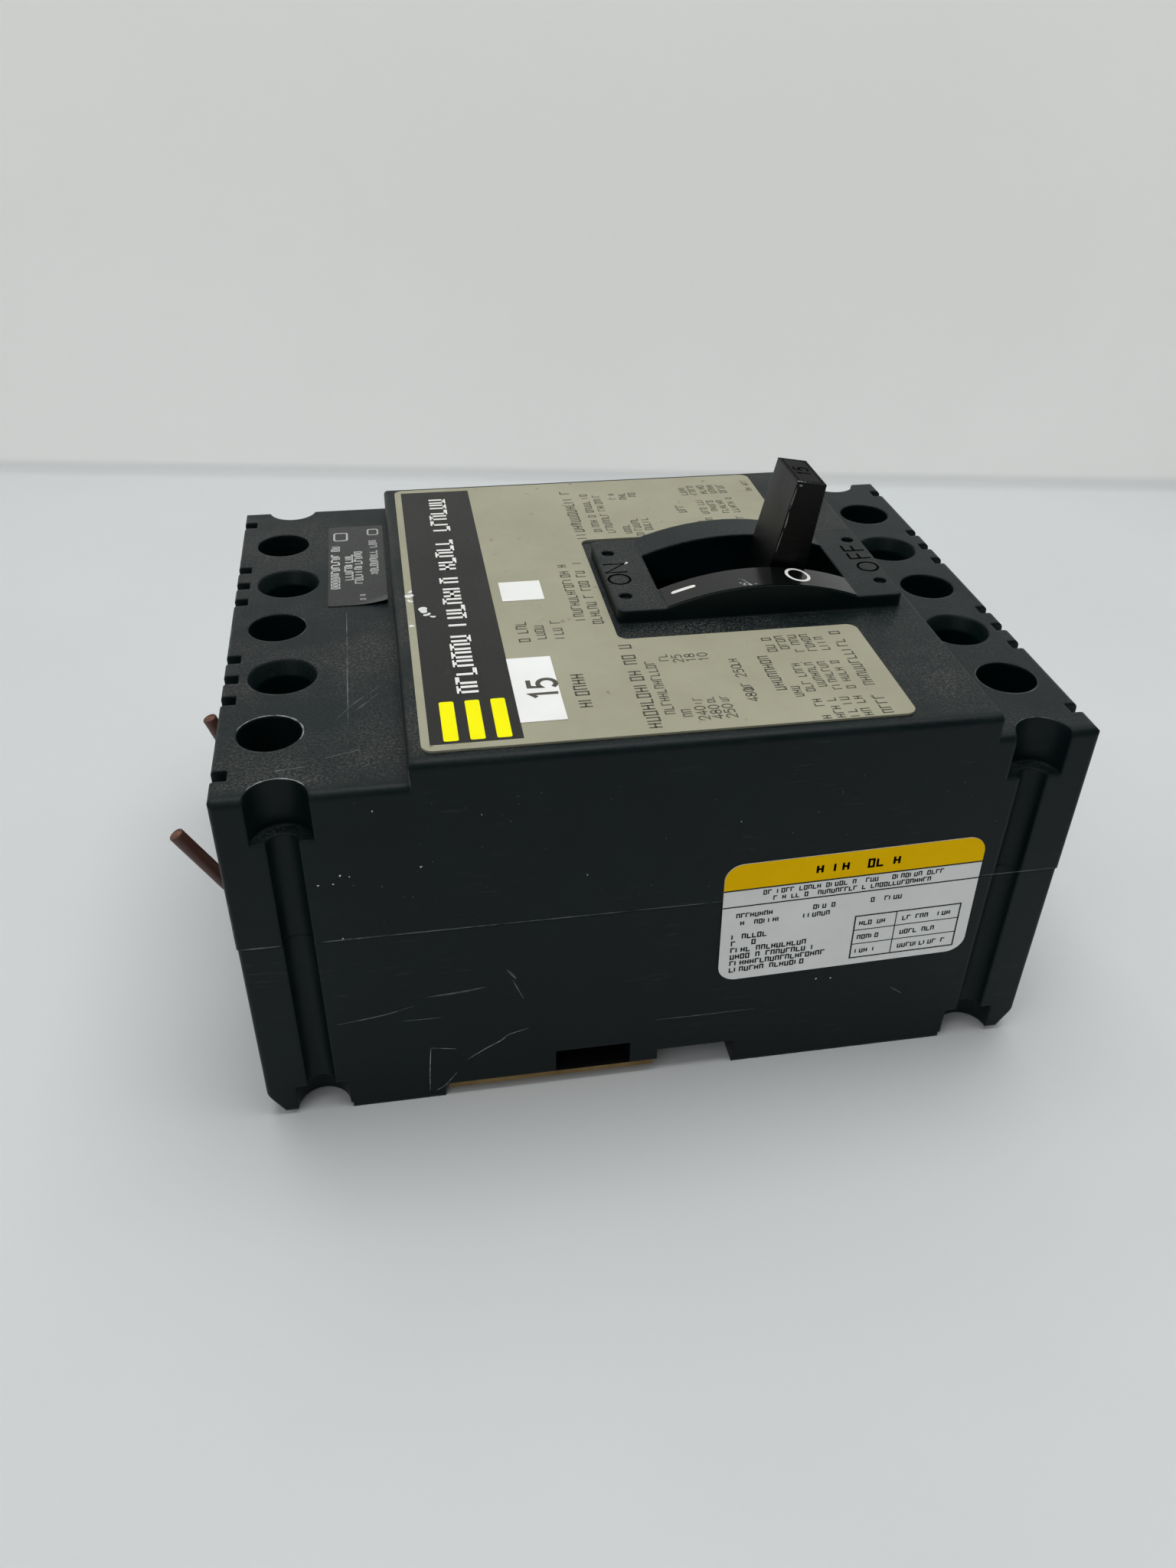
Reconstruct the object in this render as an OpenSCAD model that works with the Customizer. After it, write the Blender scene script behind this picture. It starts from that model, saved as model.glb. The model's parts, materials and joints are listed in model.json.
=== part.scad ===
// Three-pole moulded-case circuit breaker, handle at OFF.
// X runs from the line end to the load end, Y across the poles, Z up from the mounting face.

/* [Case] */
// Distance between pole centres
pole_pitch = 38.1; // [37.8:0.1:42]
// Length of the case
body_l = 152.4; // [150:0.2:166]
// Height of the two terminal shelves
shelf_h = 75.3; // [74.6:0.1:78]
// Rise of the deck above the shelves
deck_rise = 4.3; // [3.6:0.1:6]
// Height of the seam between base and cover
seam_h = 43.7; // [43:0.1:47]
// Thickness of the side walls and ceilings
case_wall = 3; // [2.4:0.1:3.6]
// Thickness of the walls between the poles
pole_wall = 2.5; // [2:0.1:3]
// Thickness of the cross walls behind the terminal pockets
cross_wall = 2.5; // [2:0.1:3]
// Length of the line shelf
line_shelf_l = 31.75; // [30:0.05:33]
// Length of the load shelf
load_shelf_l = 19.1; // [18:0.1:20]
// How far the cover overhangs the base at the seam
seam_step = 0.2; // [0.1:0.05:0.3]
// Radius of the top edge at the line end
line_edge_r = 0.7; // [0.3:0.1:2]
// Radius of the top edge at the load end
load_edge_r = 1.2; // [0.5:0.1:3]
// Radius of the deck and shelf side edges
side_edge_r = 1.5; // [0.5:0.1:2]
// Radius of the upright corners
corner_r = 0.8; // [0.4:0.1:1.2]

/* [Back] */
// Height of the floor inside the base
floor_h = 11.5; // [11:0.1:13]
// Height of the case ends above the mounting face
end_foot_lift = 1.2; // [0.6:0.1:2]
// Inset of the lifted ends from the case ends
end_foot_l = 16; // [15.8:0.1:17]
// Length of the chamfer at the foot of each end
end_chamfer_l = 3; // [1:0.1:4]
// Height of that chamfer
end_chamfer_h = 5; // [3:0.1:5.5]
// Start of the plate recess
recess_x0 = -42.3; // [-43:0.1:-41]
// End of the plate recess and start of the deep recess
recess_x1 = 0; // [-0.5:0.1:1]
// End of the deep recess
recess_x2 = 15.6; // [15:0.1:18]
// Height of the plate recess
recess_h = 3.3; // [2.5:0.1:3.6]
// Height of the deep recess
deep_recess_h = 6; // [5:0.1:6.4]
// Thickness of the fibre plate
fibre_t = 1.2; // [0.8:0.1:1.6]
// Gap round the fibre plate
fibre_gap = 0.8; // [0.4:0.1:1.2]
// Start of the side window
window_x0 = -20.4; // [-22:0.1:-19]
// Length of the side window
window_l = 14.8; // [13:0.1:16]
// Height of the side window's top
window_h = 8.9; // [8.4:0.1:9.2]
// Depth of the side window
window_deep = 20; // [15:0.5:24]

/* [Mounting] */
// Inset of the mounting holes from the case ends
mount_inset = 10.6; // [10.2:0.1:11]
// Diameter of the mounting holes
mount_d = 5.4; // [4.6:0.1:6]
// Diameter of the head recess at its rim
mount_rim_d = 12.7; // [11.5:0.1:13]
// Diameter of the head recess below its flared rim
mount_seat_d = 10.3; // [9:0.1:11]
// Depth of the flared rim
mount_flare = 2.8; // [2:0.1:4]
// Height of the head recess floor
mount_seat_h = 66.1; // [65:0.1:68]
// Diameter of the back recess round each hole
back_bore_d = 10; // [8:0.1:10.4]
// Height of that back recess
back_bore_h = 7.4; // [6.5:0.1:8]
// Diameter of the head recess in the half holes on the sides
half_seat_d = 10.4; // [9:0.1:11]

/* [Terminals] */
// Inset of the access holes from the case ends
access_inset = 9; // [8.6:0.1:9.4]
// Diameter of the access holes
access_d = 11.1; // [10:0.1:11.6]
// Depth of the terminal pockets
pocket_l = 17.7; // [17.2:0.1:18.4]
// Width of the terminal pockets
pocket_w = 18; // [17:0.1:18.4]
// Height of the pocket floors
pocket_h0 = 27; // [25:0.1:28]
// Height of the pocket ceilings
pocket_h1 = 60; // [59:0.1:62]
// Length of a lug
lug_l = 12; // [11.5:0.1:12.6]
// Distance from the screw to the mouth of a lug
lug_front = 4.8; // [4.6:0.1:5.2]
// Width of a lug
lug_w = 14; // [13:0.1:15]
// Thickness of a lug below its strap
lug_sole = 1.5; // [1:0.1:2]
// Height of a lug above the strap
lug_h = 20.5; // [20:0.1:22]
// Diameter of the wire bore
wire_bore_d = 6.5; // [6:0.1:7]
// Height of the wire bore above the strap
wire_bore_up = 8; // [7:0.1:8.5]
// Diameter of a lug screw
lug_screw_d = 6.35; // [5.8:0.05:6.35]
// Length of a lug screw
lug_screw_l = 12; // [11.5:0.1:12.5]
// Width of the copper straps
strap_w = 11; // [10:0.1:12]
// Thickness of the copper straps
strap_t = 2.5; // [2:0.1:2.8]
// Height of the underside of the straps
strap_h = 31; // [30:0.1:31.5]
// Diameter of the wire stubs
wire_d = 2.8; // [2:0.1:3]

/* [Barrier slots] */
// Width of a barrier slot
slot_w = 3; // [2:0.1:3.2]
// Depth of a barrier slot
slot_deep = 2.8; // [2:0.1:3.2]
// Offset of the outer slots from a pole centre
slot_off = 11.7; // [11.4:0.1:12.2]
// Height of the foot of the slots
slot_foot_h = 7; // [6:0.1:9]

/* [Escutcheon] */
// Distance from the centre of the escutcheon to the load cross wall
esc_back = 30; // [29.5:0.1:30.5]
// Length of the escutcheon
esc_l = 57; // [52:0.1:58]
// Width of the escutcheon
esc_w = 31.8; // [29:0.1:34]
// Rise of the escutcheon above the deck
esc_rise = 2.8; // [2:0.1:4]
// Length of the handle slot
handle_slot_l = 38.4; // [37:0.1:40]
// Width of the handle slot
handle_slot_w = 15.6; // [14.6:0.1:17]
// Rise of the arched rails above the escutcheon
arch_rise = 3.5; // [2:0.1:5]
// Radius of its upright corners
esc_corner_r = 1.5; // [0.5:0.1:3]
// Diameter of the four dimples
dimple_d = 2.6; // [1:0.1:3]
// Depth of the four dimples
dimple_deep = 1; // [0.5:0.1:1.5]

/* [Handle] */
// Height of the handle pivot
pivot_h = 41; // [40.5:0.1:41.5]
// Distance from the pivot to the handle tip
handle_r = 62; // [58:0.1:66]
// Width of the handle
handle_w = 12.8; // [11:0.1:13.4]
// Thickness of the handle at its tip
handle_tip_t = 6; // [4:0.1:7]
// Thickness of the handle at its root
handle_root_t = 8.4; // [7:0.1:9]
// Lean of the handle at OFF
off_lean = 9.6; // [8:0.1:11]
// Swing of the handle from OFF to ON
on_swing = 27; // [24:0.5:28]
// Swing of the handle from OFF to RESET
reset_swing = 7.5; // [5:0.5:8]
// Gap between the dust shield and the underside of the deck
shield_gap = 1; // [0.6:0.1:1.2]
// Thickness of the dust shield
shield_t = 1.8; // [1.4:0.1:2]
// Reach of the dust shield towards the line end, in degrees
shield_back = 48; // [44:0.5:48]

/* [Contacts] */
// Distance from the crossbar to the centre of the escutcheon
crossbar_back = 32; // [31.5:0.1:32.5]
// Height of the crossbar
crossbar_h = 36; // [35.8:0.1:36.4]
// Diameter of the crossbar
crossbar_d = 11; // [10:0.1:11.4]
// Distance from the line cross wall to the contacts
contact_inset = 14; // [13:0.1:15]
// Width of a contact arm
arm_w = 5; // [4:0.1:5.2]
// Height of a contact arm
arm_t = 5; // [4:0.1:5.2]
// Thickness of each contact pad
pad_t = 2; // [1.5:0.1:2.2]
// Angle of the open contacts at OFF
open_angle = 26; // [22:0.5:27]

/* [Mechanism] */
// Distance from the centre to a frame plate
frame_in = 12; // [11.6:0.1:12.2]
// Thickness of a frame plate
frame_t = 2; // [1.5:0.1:2.2]
// Diameter of the pivot pins
pin_d = 4; // [3:0.1:4.4]
// Thickness of a toggle link
link_t = 1.5; // [1:0.1:1.6]
// Length of the upper links
upper_link_l = 14; // [13.8:0.1:14.4]
// Length of the lower links
lower_link_l = 15.3; // [15:0.1:15.6]
// Diameter of the main springs
spring_d = 2.6; // [2:0.1:2.8]

/* [Trip unit] */
// Distance from the trip bar to the cross wall
trip_bar_back = 12; // [11.8:0.1:12.2]
// Height of the trip bar
trip_bar_h = 23; // [22.6:0.1:23.4]
// Diameter of the trip bar
trip_bar_d = 7; // [6:0.1:7.2]
// Width of a bimetal
bimetal_w = 10; // [8:0.1:10.6]
// Thickness of a bimetal
bimetal_t = 1.2; // [0.8:0.1:1.3]
// Height of the trip unit's top
trip_top_h = 55; // [54:0.1:55.4]
// Thickness of the magnet plates
magnet_t = 1.8; // [1.4:0.1:1.9]
// Thickness of an armature
armature_t = 1.4; // [1:0.1:1.5]

/* [Labels] */
// Thickness of the rating plate
plate_t = 0.4; // [0.2:0.05:0.8]
// Thickness of the stickers
sticker_t = 0.15; // [0.1:0.05:0.3]

/* [Clearances] */
// Radial running clearance of a pin or bar in its hole
run_gap = 0.05; // [0.03:0.01:0.08]
// Gap between pieces that pass each other
pass_gap = 0.3; // [0.2:0.05:0.4]
// Gap round a piece that is dropped into a slot
slot_gap = 0.1; // [0.05:0.05:0.2]
// Radial grip of a pin pressed into a plate or a screw cut into plastic
grip = 0.02; // [0.01:0.01:0.04]

/* [Hidden] */
$fn = 64;
// Length by which a cut runs past a face
over = 1;

pole_id = ["a", "b", "c"];
pole_y = [for (i = [-1:1]) i * pole_pitch];
body_w = 3 * pole_pitch;
half_l = body_l / 2;
half_w = body_w / 2;
base_half_l = half_l - seam_step;
base_half_w = half_w - seam_step;
deck_h = shelf_h + deck_rise;
deck_x0 = -half_l + line_shelf_l;
deck_x1 = half_l - load_shelf_l;

// Pole chambers
wall_gap = 0.5;
pocket_x = half_l - pocket_l;
chamber_x = pocket_x - cross_wall;
esc_x = chamber_x - esc_back;
crossbar_x = esc_x - crossbar_back;
shelf_ceiling = shelf_h - case_wall;
deck_ceiling = deck_h - case_wall;

// Mounting and access holes
mount_x = half_l - mount_inset;
access_x = half_l - access_inset;
wall_y = [-pole_pitch / 2, pole_pitch / 2];

// Case screws in the walls between the poles
case_screw_off = [-56, -18];
case_screw_x = [for (off = case_screw_off) esc_x + off];
case_screw_d = 3.5;
case_post_d = 9;
case_head_d = 7.5;
case_head_t = 3;
case_head_h = 6;
case_screw_top = 58;

// Terminals
strap_top = strap_h + strap_t;
lug_mouth = access_x + lug_front;
lug_back = lug_mouth - lug_l;
lug_top = strap_top + lug_h;
wire_bore_h = strap_top + wire_bore_up;
bore_low = wire_bore_h - wire_bore_d / 2;
bore_high = wire_bore_h + wire_bore_d / 2;
wire_h = bore_low + wire_d / 2 - grip;
screw_on_wire = wire_h + wire_d / 2 + slot_gap;
screw_open = bore_high + slot_gap;
screw_slot_w = 1.6;
screw_slot_deep = 2.2;
screw_tip_d = 3.5;
screw_tip_l = 3.4;

// Escutcheon, with the arch as a circle through the slot ends and the crown
esc_h = deck_h + esc_rise;
esc_x0 = esc_x - esc_l / 2;
esc_x1 = esc_x + esc_l / 2;
arch_r = (pow(handle_slot_l / 2, 2) + pow(arch_rise, 2)) / (2 * arch_rise);
arch_h = esc_h + arch_rise - arch_r;
dimple_x = esc_l / 2 - 2.6;
dimple_y = esc_w / 2 - 6.2;

// Handle pivot and shield
shield_r = deck_ceiling - pivot_h - shield_gap;
shield_in = shield_r - shield_t;
shield_fore = asin(min(0.85, (chamber_x - esc_x - 0.9) / shield_r)) - off_lean - reset_swing;
shield_w = 2 * (frame_in - 1.2);
handle_root_r = shield_r - shield_t / 2;

// Contacts, drawn closed and then turned open
contact_x = -chamber_x + contact_inset;
arm_l = crossbar_x - contact_x;
pad_top = strap_top + pad_t;
arm_h = pad_top + pad_t + slot_gap;
arm_tail_x = crossbar_x + 4;
carrier_half = arm_w / 2 + 1.4;
carrier_h0 = crossbar_h - 5;
carrier_h1 = arm_h + arm_t + 9.4;
carrier_x0 = crossbar_x - 5;
carrier_x1 = crossbar_x + 6;
contact_spring_d = arm_w - 0.8;
contact_spring_l = 6;

// Toggle: crossbar pin, cradle pin and the knee between them
cradle_off = 8;
cradle_h = 36;
cradle_at = [esc_x + cradle_off, cradle_h];
cradle_link_back = 8;
cradle_link_h = 62;
cradle_link_at = [esc_x - cradle_link_back, cradle_link_h];
drive_pin_r = 10;
drive_pin_lean = 23.5;
drive_pin_at = [
    crossbar_x + drive_pin_r * sin(drive_pin_lean),
    crossbar_h + drive_pin_r * cos(drive_pin_lean)
];
knee_span = norm(cradle_link_at - drive_pin_at);
knee_along = (pow(upper_link_l, 2) - pow(lower_link_l, 2) + pow(knee_span, 2)) / (2 * knee_span);
knee_out = sqrt(pow(upper_link_l, 2) - pow(knee_along, 2));
knee_dir = (drive_pin_at - cradle_link_at) / knee_span;
knee_at = cradle_link_at + knee_along * knee_dir + knee_out * [-knee_dir[1], knee_dir[0]];
link_d = pin_d + 3;
cradle_half = 1.5;
upper_link_in = cradle_half + 0.5;
lower_link_in = carrier_half + 0.3;
link_pin_d = pin_d - 1;

// Handle yoke and springs
yoke_t = 1.6;
yoke_in = 9;
yoke_out = yoke_in + yoke_t;
yoke_top = shield_in - 0.4;
yoke_bridge_t = 2;
yoke_bridge_l = 9;
tongue_t = 3;
tongue_w = 8;
tongue_l = 10;
spring_y = (lower_link_in + link_t + yoke_in) / 2;
spring_end_gap = 0.8;
spring_top_r = yoke_top - yoke_bridge_t - spring_end_gap;
spring_top = [esc_x + spring_top_r * sin(off_lean), pivot_h + spring_top_r * cos(off_lean)];
spring_foot = knee_at + 3 * (spring_top - knee_at) / norm(spring_top - knee_at);

// Mechanism frame
frame_back = 10;
frame_x0 = crossbar_x - frame_back;
frame_fore = 12;
frame_x1 = esc_x + frame_fore;
frame_h1 = 58;
frame_out = frame_in + frame_t;
frame_floor_t = 1.5;

// Trip unit, set out from the load cross wall
trip_bar_x = chamber_x - trip_bar_back;
magnet_x1 = chamber_x - 0.2;
riser_t = 1.5;
riser_x1 = magnet_x1 - magnet_t;
riser_x0 = riser_x1 - riser_t;
bimetal_x1 = riser_x0 - 1.3;
bimetal_x0 = bimetal_x1 - bimetal_t;
bimetal_foot_h = floor_h + 3.5;
hook_t = 4;
magnet_x0 = bimetal_x0 - 0.2;
magnet_in = bimetal_w / 2 + 1;
magnet_out = magnet_in + magnet_t;
magnet_h0 = strap_top;
magnet_h1 = trip_top_h - 8;
armature_x1 = magnet_x0 - 1.6;
armature_x0 = armature_x1 - armature_t;
armature_pin_d = 2;
armature_eye_d = 4.4;
magnet_ear = 2;
armature_pin_at = [armature_x0 + armature_t / 2, trip_top_h - 4];
armature_foot_h = 30;
ear_y0 = magnet_out + 0.8;
ear_y1 = ear_y0 + 2.4;
trip_tab_x0 = armature_x1 + 1.7;
trip_tab_t = 1.2;
latch_t = 2.2;
cradle_nose_fore = 12.8;
cradle_nose_x = esc_x + cradle_nose_fore;
cradle_nose_h = [28, 32];
latch_x0 = cradle_nose_x + pass_gap;
latch_top = 33;

// Braid along the floor to the bimetal's foot
braid_t = 3;
braid_y0 = -bimetal_w / 2 - 3.5;
braid_h0 = floor_h + frame_floor_t + 0.5;
braid_fore = 9.5;
braid_x0 = crossbar_x + braid_fore;
braid_top = crossbar_h - 2;

// Arc chute
chute_x0 = -chamber_x + wall_gap;
chute_gap = 4.4;
chute_x1 = contact_x - chute_gap;
chute_notch_d = 8;
chute_in = 10;
chute_side_t = 1.5;
chute_h1 = 64;
chute_plate_t = 1.6;
chute_plates = 6;
chute_first_h = pad_top + 3;
chute_pitch = (chute_h1 - 4 - chute_first_h) / (chute_plates - 1);

// Rating plate and stickers
plate_x0 = deck_x0 + 2.4;
plate_fore = 16.4;
plate_x1 = esc_x + plate_fore;
plate_half_w = half_w - 2.75;
plate_r = 2;
plate_cut_x = esc_x0 - 1.1;
plate_cut_half = esc_w / 2 + 6.3;
sticker_big_back = 21.65;
sticker_small_back = 19.75;
sticker_big = [plate_cut_x - sticker_big_back, -48.2, 8, 21.4];
sticker_small = [plate_cut_x - sticker_small_back, -4.3, 8.3, 8.2];
foil_back = 13;
foil_at = [deck_x0 - foil_back, 7.2];
foil_size = [12, 38.8];
side_label_at = [esc_x + 9.2, seam_h - 5.1];
side_label_size = [49.6, 28.6];
side_label_tilt = 1.6;
side_label_r = 3.6;

// Wire routes as steps out of the lug's mouth and up from the bore's floor, chosen by hand
wire_steps_a = [
    [-9, 0], [-6, 0], [-3, 0], [0, 0], [1.2, 0.07], [2.4, 0.37], [3.6, 0.87], [4.7, 1.57],
    [5.7, 2.47], [6.6, 3.47], [7.4, 4.67], [8.6, 6.77], [10, 9.17], [11.4, 11.57],
    [12.8, 13.97], [14, 16.07]
];
wire_steps_b = [
    [-9, 0], [-6, 0], [-3, 0], [0, 0], [1.2, 0.07], [2.4, 0.37], [3.6, 0.87], [4.7, 1.57],
    [5.7, 2.47], [6.5, 3.47], [7.2, 4.57], [7.8, 5.97], [8.6, 8.37], [9.4, 10.87],
    [10.3, 13.57], [11.2, 16.17]
];
wire_route_a = [for (step = wire_steps_a) [-lug_mouth - step[0], wire_h + step[1]]];
wire_route_b = [for (step = wire_steps_b) [-lug_mouth - step[0], wire_h + step[1]]];
wire_sides = 8;

// A box from its low corner to its high corner
module span_box(low, high) {
    translate(low) cube(high - low);
}

// A cylinder along Y at a place in the XZ plane
module bar_y(at, d, y0, y1) {
    translate([at[0], y1, at[1]]) rotate([90, 0, 0]) cylinder(d = d, h = y1 - y0);
}

// An outline in the XZ plane, extruded from y0 to y1
module plate_y(points, y0, y1) {
    translate([0, y1, 0]) rotate([90, 0, 0]) linear_extrude(y1 - y0) polygon(points);
}

// A straight bar with round eyes between two places in the XZ plane
module link_y(from, to, d, y0, y1) {
    run = to - from;
    bar_half = 0.4 * d;
    translate([0, y1, 0])
        rotate([90, 0, 0])
            linear_extrude(y1 - y0) {
                translate(from) circle(d = d);
                translate(to) circle(d = d);
                translate(from)
                    rotate(-atan2(run[0], run[1]))
                        translate([-bar_half, 0]) square([2 * bar_half, norm(run)]);
            }
}

// A slab with rounded corners in the XY plane
module round_slab(low, high, r) {
    size = high - low;
    translate(low) {
        translate([r, 0, 0]) cube([size[0] - 2 * r, size[1], size[2]]);
        translate([0, r, 0]) cube([size[0], size[1] - 2 * r, size[2]]);
        for (x = [r, size[0] - r], y = [r, size[1] - r])
            translate([x, y, 0]) cylinder(r = r, h = size[2]);
    }
}

// Its children and their mirror image across the XZ plane
module both_sides() {
    children();
    mirror([0, 1, 0]) children();
}

// Turns its children about the crossbar from closed to open
module opened() {
    translate([crossbar_x, 0, crossbar_h])
        rotate([0, open_angle, 0])
            translate([-crossbar_x, 0, -crossbar_h]) children();
}

// Turns its children, drawn upright, about the handle pivot to the OFF lean
module at_off() {
    translate([esc_x, 0, pivot_h])
        rotate([0, off_lean, 0]) children();
}

// What has to go from a square edge along Y, seen from its sharp corner at the origin
module edge_cut_y(r, y0, y1) {
    difference() {
        span_box([-r, y0, -r], [over, y1, over]);
        bar_y([-r, -r], 2 * r, y0 - over, y1 + over);
    }
}

// What has to go from a square edge along X
module edge_cut_x(r, x0, x1) {
    rotate([0, 0, 90]) edge_cut_y(r, -x1, -x0);
}

// What has to go from an upright edge
module edge_cut_z(r, z0, z1) {
    difference() {
        span_box([-r, -r, z0], [over, over, z1]);
        translate([-r, -r, z0 - over]) cylinder(r = r, h = z1 - z0 + 2 * over);
    }
}

// The four upright corners of a block
module corner_cuts(half_x, half_y, z0, z1) {
    for (mx = [0, 1], my = [0, 1])
        mirror([mx, 0, 0]) mirror([0, my, 0])
            translate([half_x, half_y, 0]) edge_cut_z(corner_r, z0, z1);
}

// The barrier slots in both ends of a block
module barrier_slots(half_x, z1) {
    for (end = [0, 1], y = pole_y, side = [-1, 1])
        mirror([end, 0, 0])
            slot_cut(half_x, y + side * slot_off, z1);
    for (end = [0, 1], y = wall_y)
        mirror([end, 0, 0])
            slot_cut(half_x, y, z1);
}

// One barrier slot
module slot_cut(half_x, y, z1) {
    span_box(
        [half_l - slot_deep, y - slot_w / 2, slot_foot_h],
        [half_x + over, y + slot_w / 2, z1]
    );
}

// The terminal pockets in both ends
module pockets(z0, z1) {
    for (end = [0, 1], y = pole_y)
        mirror([end, 0, 0])
            span_box([pocket_x, y - pocket_w / 2, z0], [half_l + over, y + pocket_w / 2, z1]);
}

// The three pole chambers
module chambers(z0, z1) {
    for (y = pole_y) {
        low_y = max(y - pole_pitch / 2 + pole_wall / 2, -half_w + case_wall);
        high_y = min(y + pole_pitch / 2 - pole_wall / 2, half_w - case_wall);
        span_box([-chamber_x, low_y, z0], [chamber_x, high_y, z1]);
    }
}

// The mounting holes, whole between the poles and half round on the sides
module mount_holes(z0, z1) {
    for (x = [-mount_x, mount_x], y = concat(wall_y, [-half_w, half_w]))
        translate([x, y, z0]) cylinder(d = mount_d, h = z1 - z0);
}

// The posts round the case screws
module case_posts(z0, z1) {
    for (x = case_screw_x, y = wall_y)
        translate([x, y, z0]) cylinder(d = case_post_d, h = z1 - z0);
}

// Moulded base with its feet, recesses, pole chambers and terminal pockets
module base() {
    color("#202226")
    difference() {
        union() {
            difference() {
                span_box([-base_half_l, -base_half_w, 0], [base_half_l, base_half_w, seam_h]);
                chambers(floor_h, seam_h + over);
            }
            case_posts(floor_h - over, seam_h);
            for (y = pole_y)
                span_box(
                    [-chamber_x - over, y - strap_w / 2 - 1, floor_h - over],
                    [contact_x + 4, y + strap_w / 2 + 1, strap_h]
                );
        }
        corner_cuts(base_half_l, base_half_w, -over, seam_h + over);
        pockets(pocket_h0, seam_h + over);
        barrier_slots(base_half_l, seam_h + over);
        mount_holes(-over, seam_h + over);
        back_cuts();
        strap_windows();
        for (y = wall_y) {
            bar_slot([crossbar_x, crossbar_h], crossbar_d + 2 * pass_gap, y);
            bar_slot([trip_bar_x, trip_bar_h], trip_bar_d + 2 * run_gap, y);
        }
        for (x = case_screw_x, y = wall_y) {
            translate([x, y, 0]) cylinder(d = case_screw_d + 2 * run_gap, h = seam_h + over);
            translate([x, y, -over])
                cylinder(d = case_head_d + 2 * slot_gap, h = case_head_h + case_head_t + over);
        }
    }
}

// A slot in a pole wall into which a bar along Y is dropped from above
module bar_slot(at, d, y) {
    y0 = y - pole_wall / 2 - over;
    y1 = y + pole_wall / 2 + over;
    bar_y(at, d, y0, y1);
    span_box([at[0] - d / 2, y0, at[1]], [at[0] + d / 2, y1, seam_h + over]);
}

// Windows that let the straps through the cross walls
module strap_windows() {
    for (end = [0, 1], y = pole_y)
        mirror([end, 0, 0])
            span_box(
                [chamber_x - over, y - strap_w / 2 - slot_gap, strap_h],
                [pocket_x + over, y + strap_w / 2 + slot_gap, strap_top + slot_gap]
            );
}

// Feet, recesses, side windows and end chamfers on the mounting side
module back_cuts() {
    wide = half_w + over;
    span_box([recess_x0, -wide, -over], [recess_x1, wide, recess_h]);
    span_box([recess_x1, -wide, -over], [recess_x2, wide, deep_recess_h]);
    both_sides()
        span_box([window_x0, base_half_w - window_deep, 0], [window_x0 + window_l, wide, window_h]);
    for (end = [0, 1])
        mirror([end, 0, 0]) {
            span_box([half_l - end_foot_l, -wide, -over], [half_l + over, wide, end_foot_lift]);
            plate_y([
                [base_half_l - end_chamfer_l, end_foot_lift - 0.01],
                [base_half_l + over, end_foot_lift - 0.01],
                [base_half_l + over, end_chamfer_h + end_foot_lift],
                [base_half_l, end_chamfer_h + end_foot_lift]
            ], -wide, wide);
        }
    for (x = [-mount_x, mount_x], y = concat(wall_y, [-half_w, half_w]))
        translate([x, y, -over]) cylinder(d = back_bore_d, h = back_bore_h + over);
}

// Moulded cover with shelves, deck, escutcheon, access holes and head recesses
module cover() {
    color("#1c1e21")
    difference() {
        union() {
            cover_block();
            escutcheon();
        }
        difference() {
            union() {
                chambers(seam_h - over, shelf_ceiling);
                intersection() {
                    chambers(seam_h, deck_ceiling);
                    span_box(
                        [deck_x0 + case_wall, -half_w, shelf_ceiling - over],
                        [deck_x1 - case_wall, half_w, deck_ceiling]
                    );
                }
            }
            case_posts(seam_h - over, deck_ceiling + over);
        }
        pockets(seam_h - over, pocket_h1);
        barrier_slots(half_l, shelf_h + over);
        mount_holes(seam_h - over, shelf_h + over);
        for (x = [-mount_x, mount_x], y = wall_y) {
            translate([x, y, mount_seat_h]) cylinder(d = mount_seat_d, h = shelf_h);
            translate([x, y, shelf_h - mount_flare])
                cylinder(d1 = mount_seat_d, d2 = mount_rim_d, h = mount_flare + 0.02);
        }
        for (x = [-mount_x, mount_x], y = [-half_w, half_w])
            translate([x, y, mount_seat_h]) cylinder(d = half_seat_d, h = shelf_h);
        for (x = [-access_x, access_x], y = pole_y)
            translate([x, y, pocket_h1 - over]) cylinder(d = access_d, h = shelf_h);
        for (x = case_screw_x, y = wall_y)
            translate([x, y, seam_h - over])
                cylinder(d = case_screw_d - 2 * grip, h = case_screw_top + over - seam_h + over);
        handle_slot();
        for (sx = [-1, 1], sy = [-1, 1])
            translate([esc_x + sx * dimple_x, sy * dimple_y, esc_h - dimple_deep])
                cylinder(d = dimple_d, h = dimple_deep + over);
    }
}

// The cover's outer block with rounded edges
module cover_block() {
    difference() {
        union() {
            span_box([-half_l, -half_w, seam_h], [half_l, half_w, shelf_h]);
            span_box([deck_x0, -half_w, seam_h], [deck_x1, half_w, deck_h]);
        }
        corner_cuts(half_l, half_w, seam_h - over, shelf_h + over);
        translate([half_l, 0, shelf_h]) edge_cut_y(load_edge_r, -half_w - over, half_w + over);
        translate([-half_l, 0, shelf_h])
            mirror([1, 0, 0]) edge_cut_y(line_edge_r, -half_w - over, half_w + over);
        translate([deck_x1, 0, deck_h]) edge_cut_y(side_edge_r / 3, -half_w - over, half_w + over);
        translate([deck_x0, 0, deck_h])
            mirror([1, 0, 0]) edge_cut_y(side_edge_r, -half_w - over, half_w + over);
        both_sides()
            translate([0, half_w, deck_h]) edge_cut_x(side_edge_r, deck_x0 - over, deck_x1 + over);
        both_sides()
            translate([0, half_w, shelf_h]) {
                edge_cut_x(side_edge_r, -half_l - over, deck_x0);
                edge_cut_x(side_edge_r, deck_x1, half_l + over);
            }
    }
}

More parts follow.
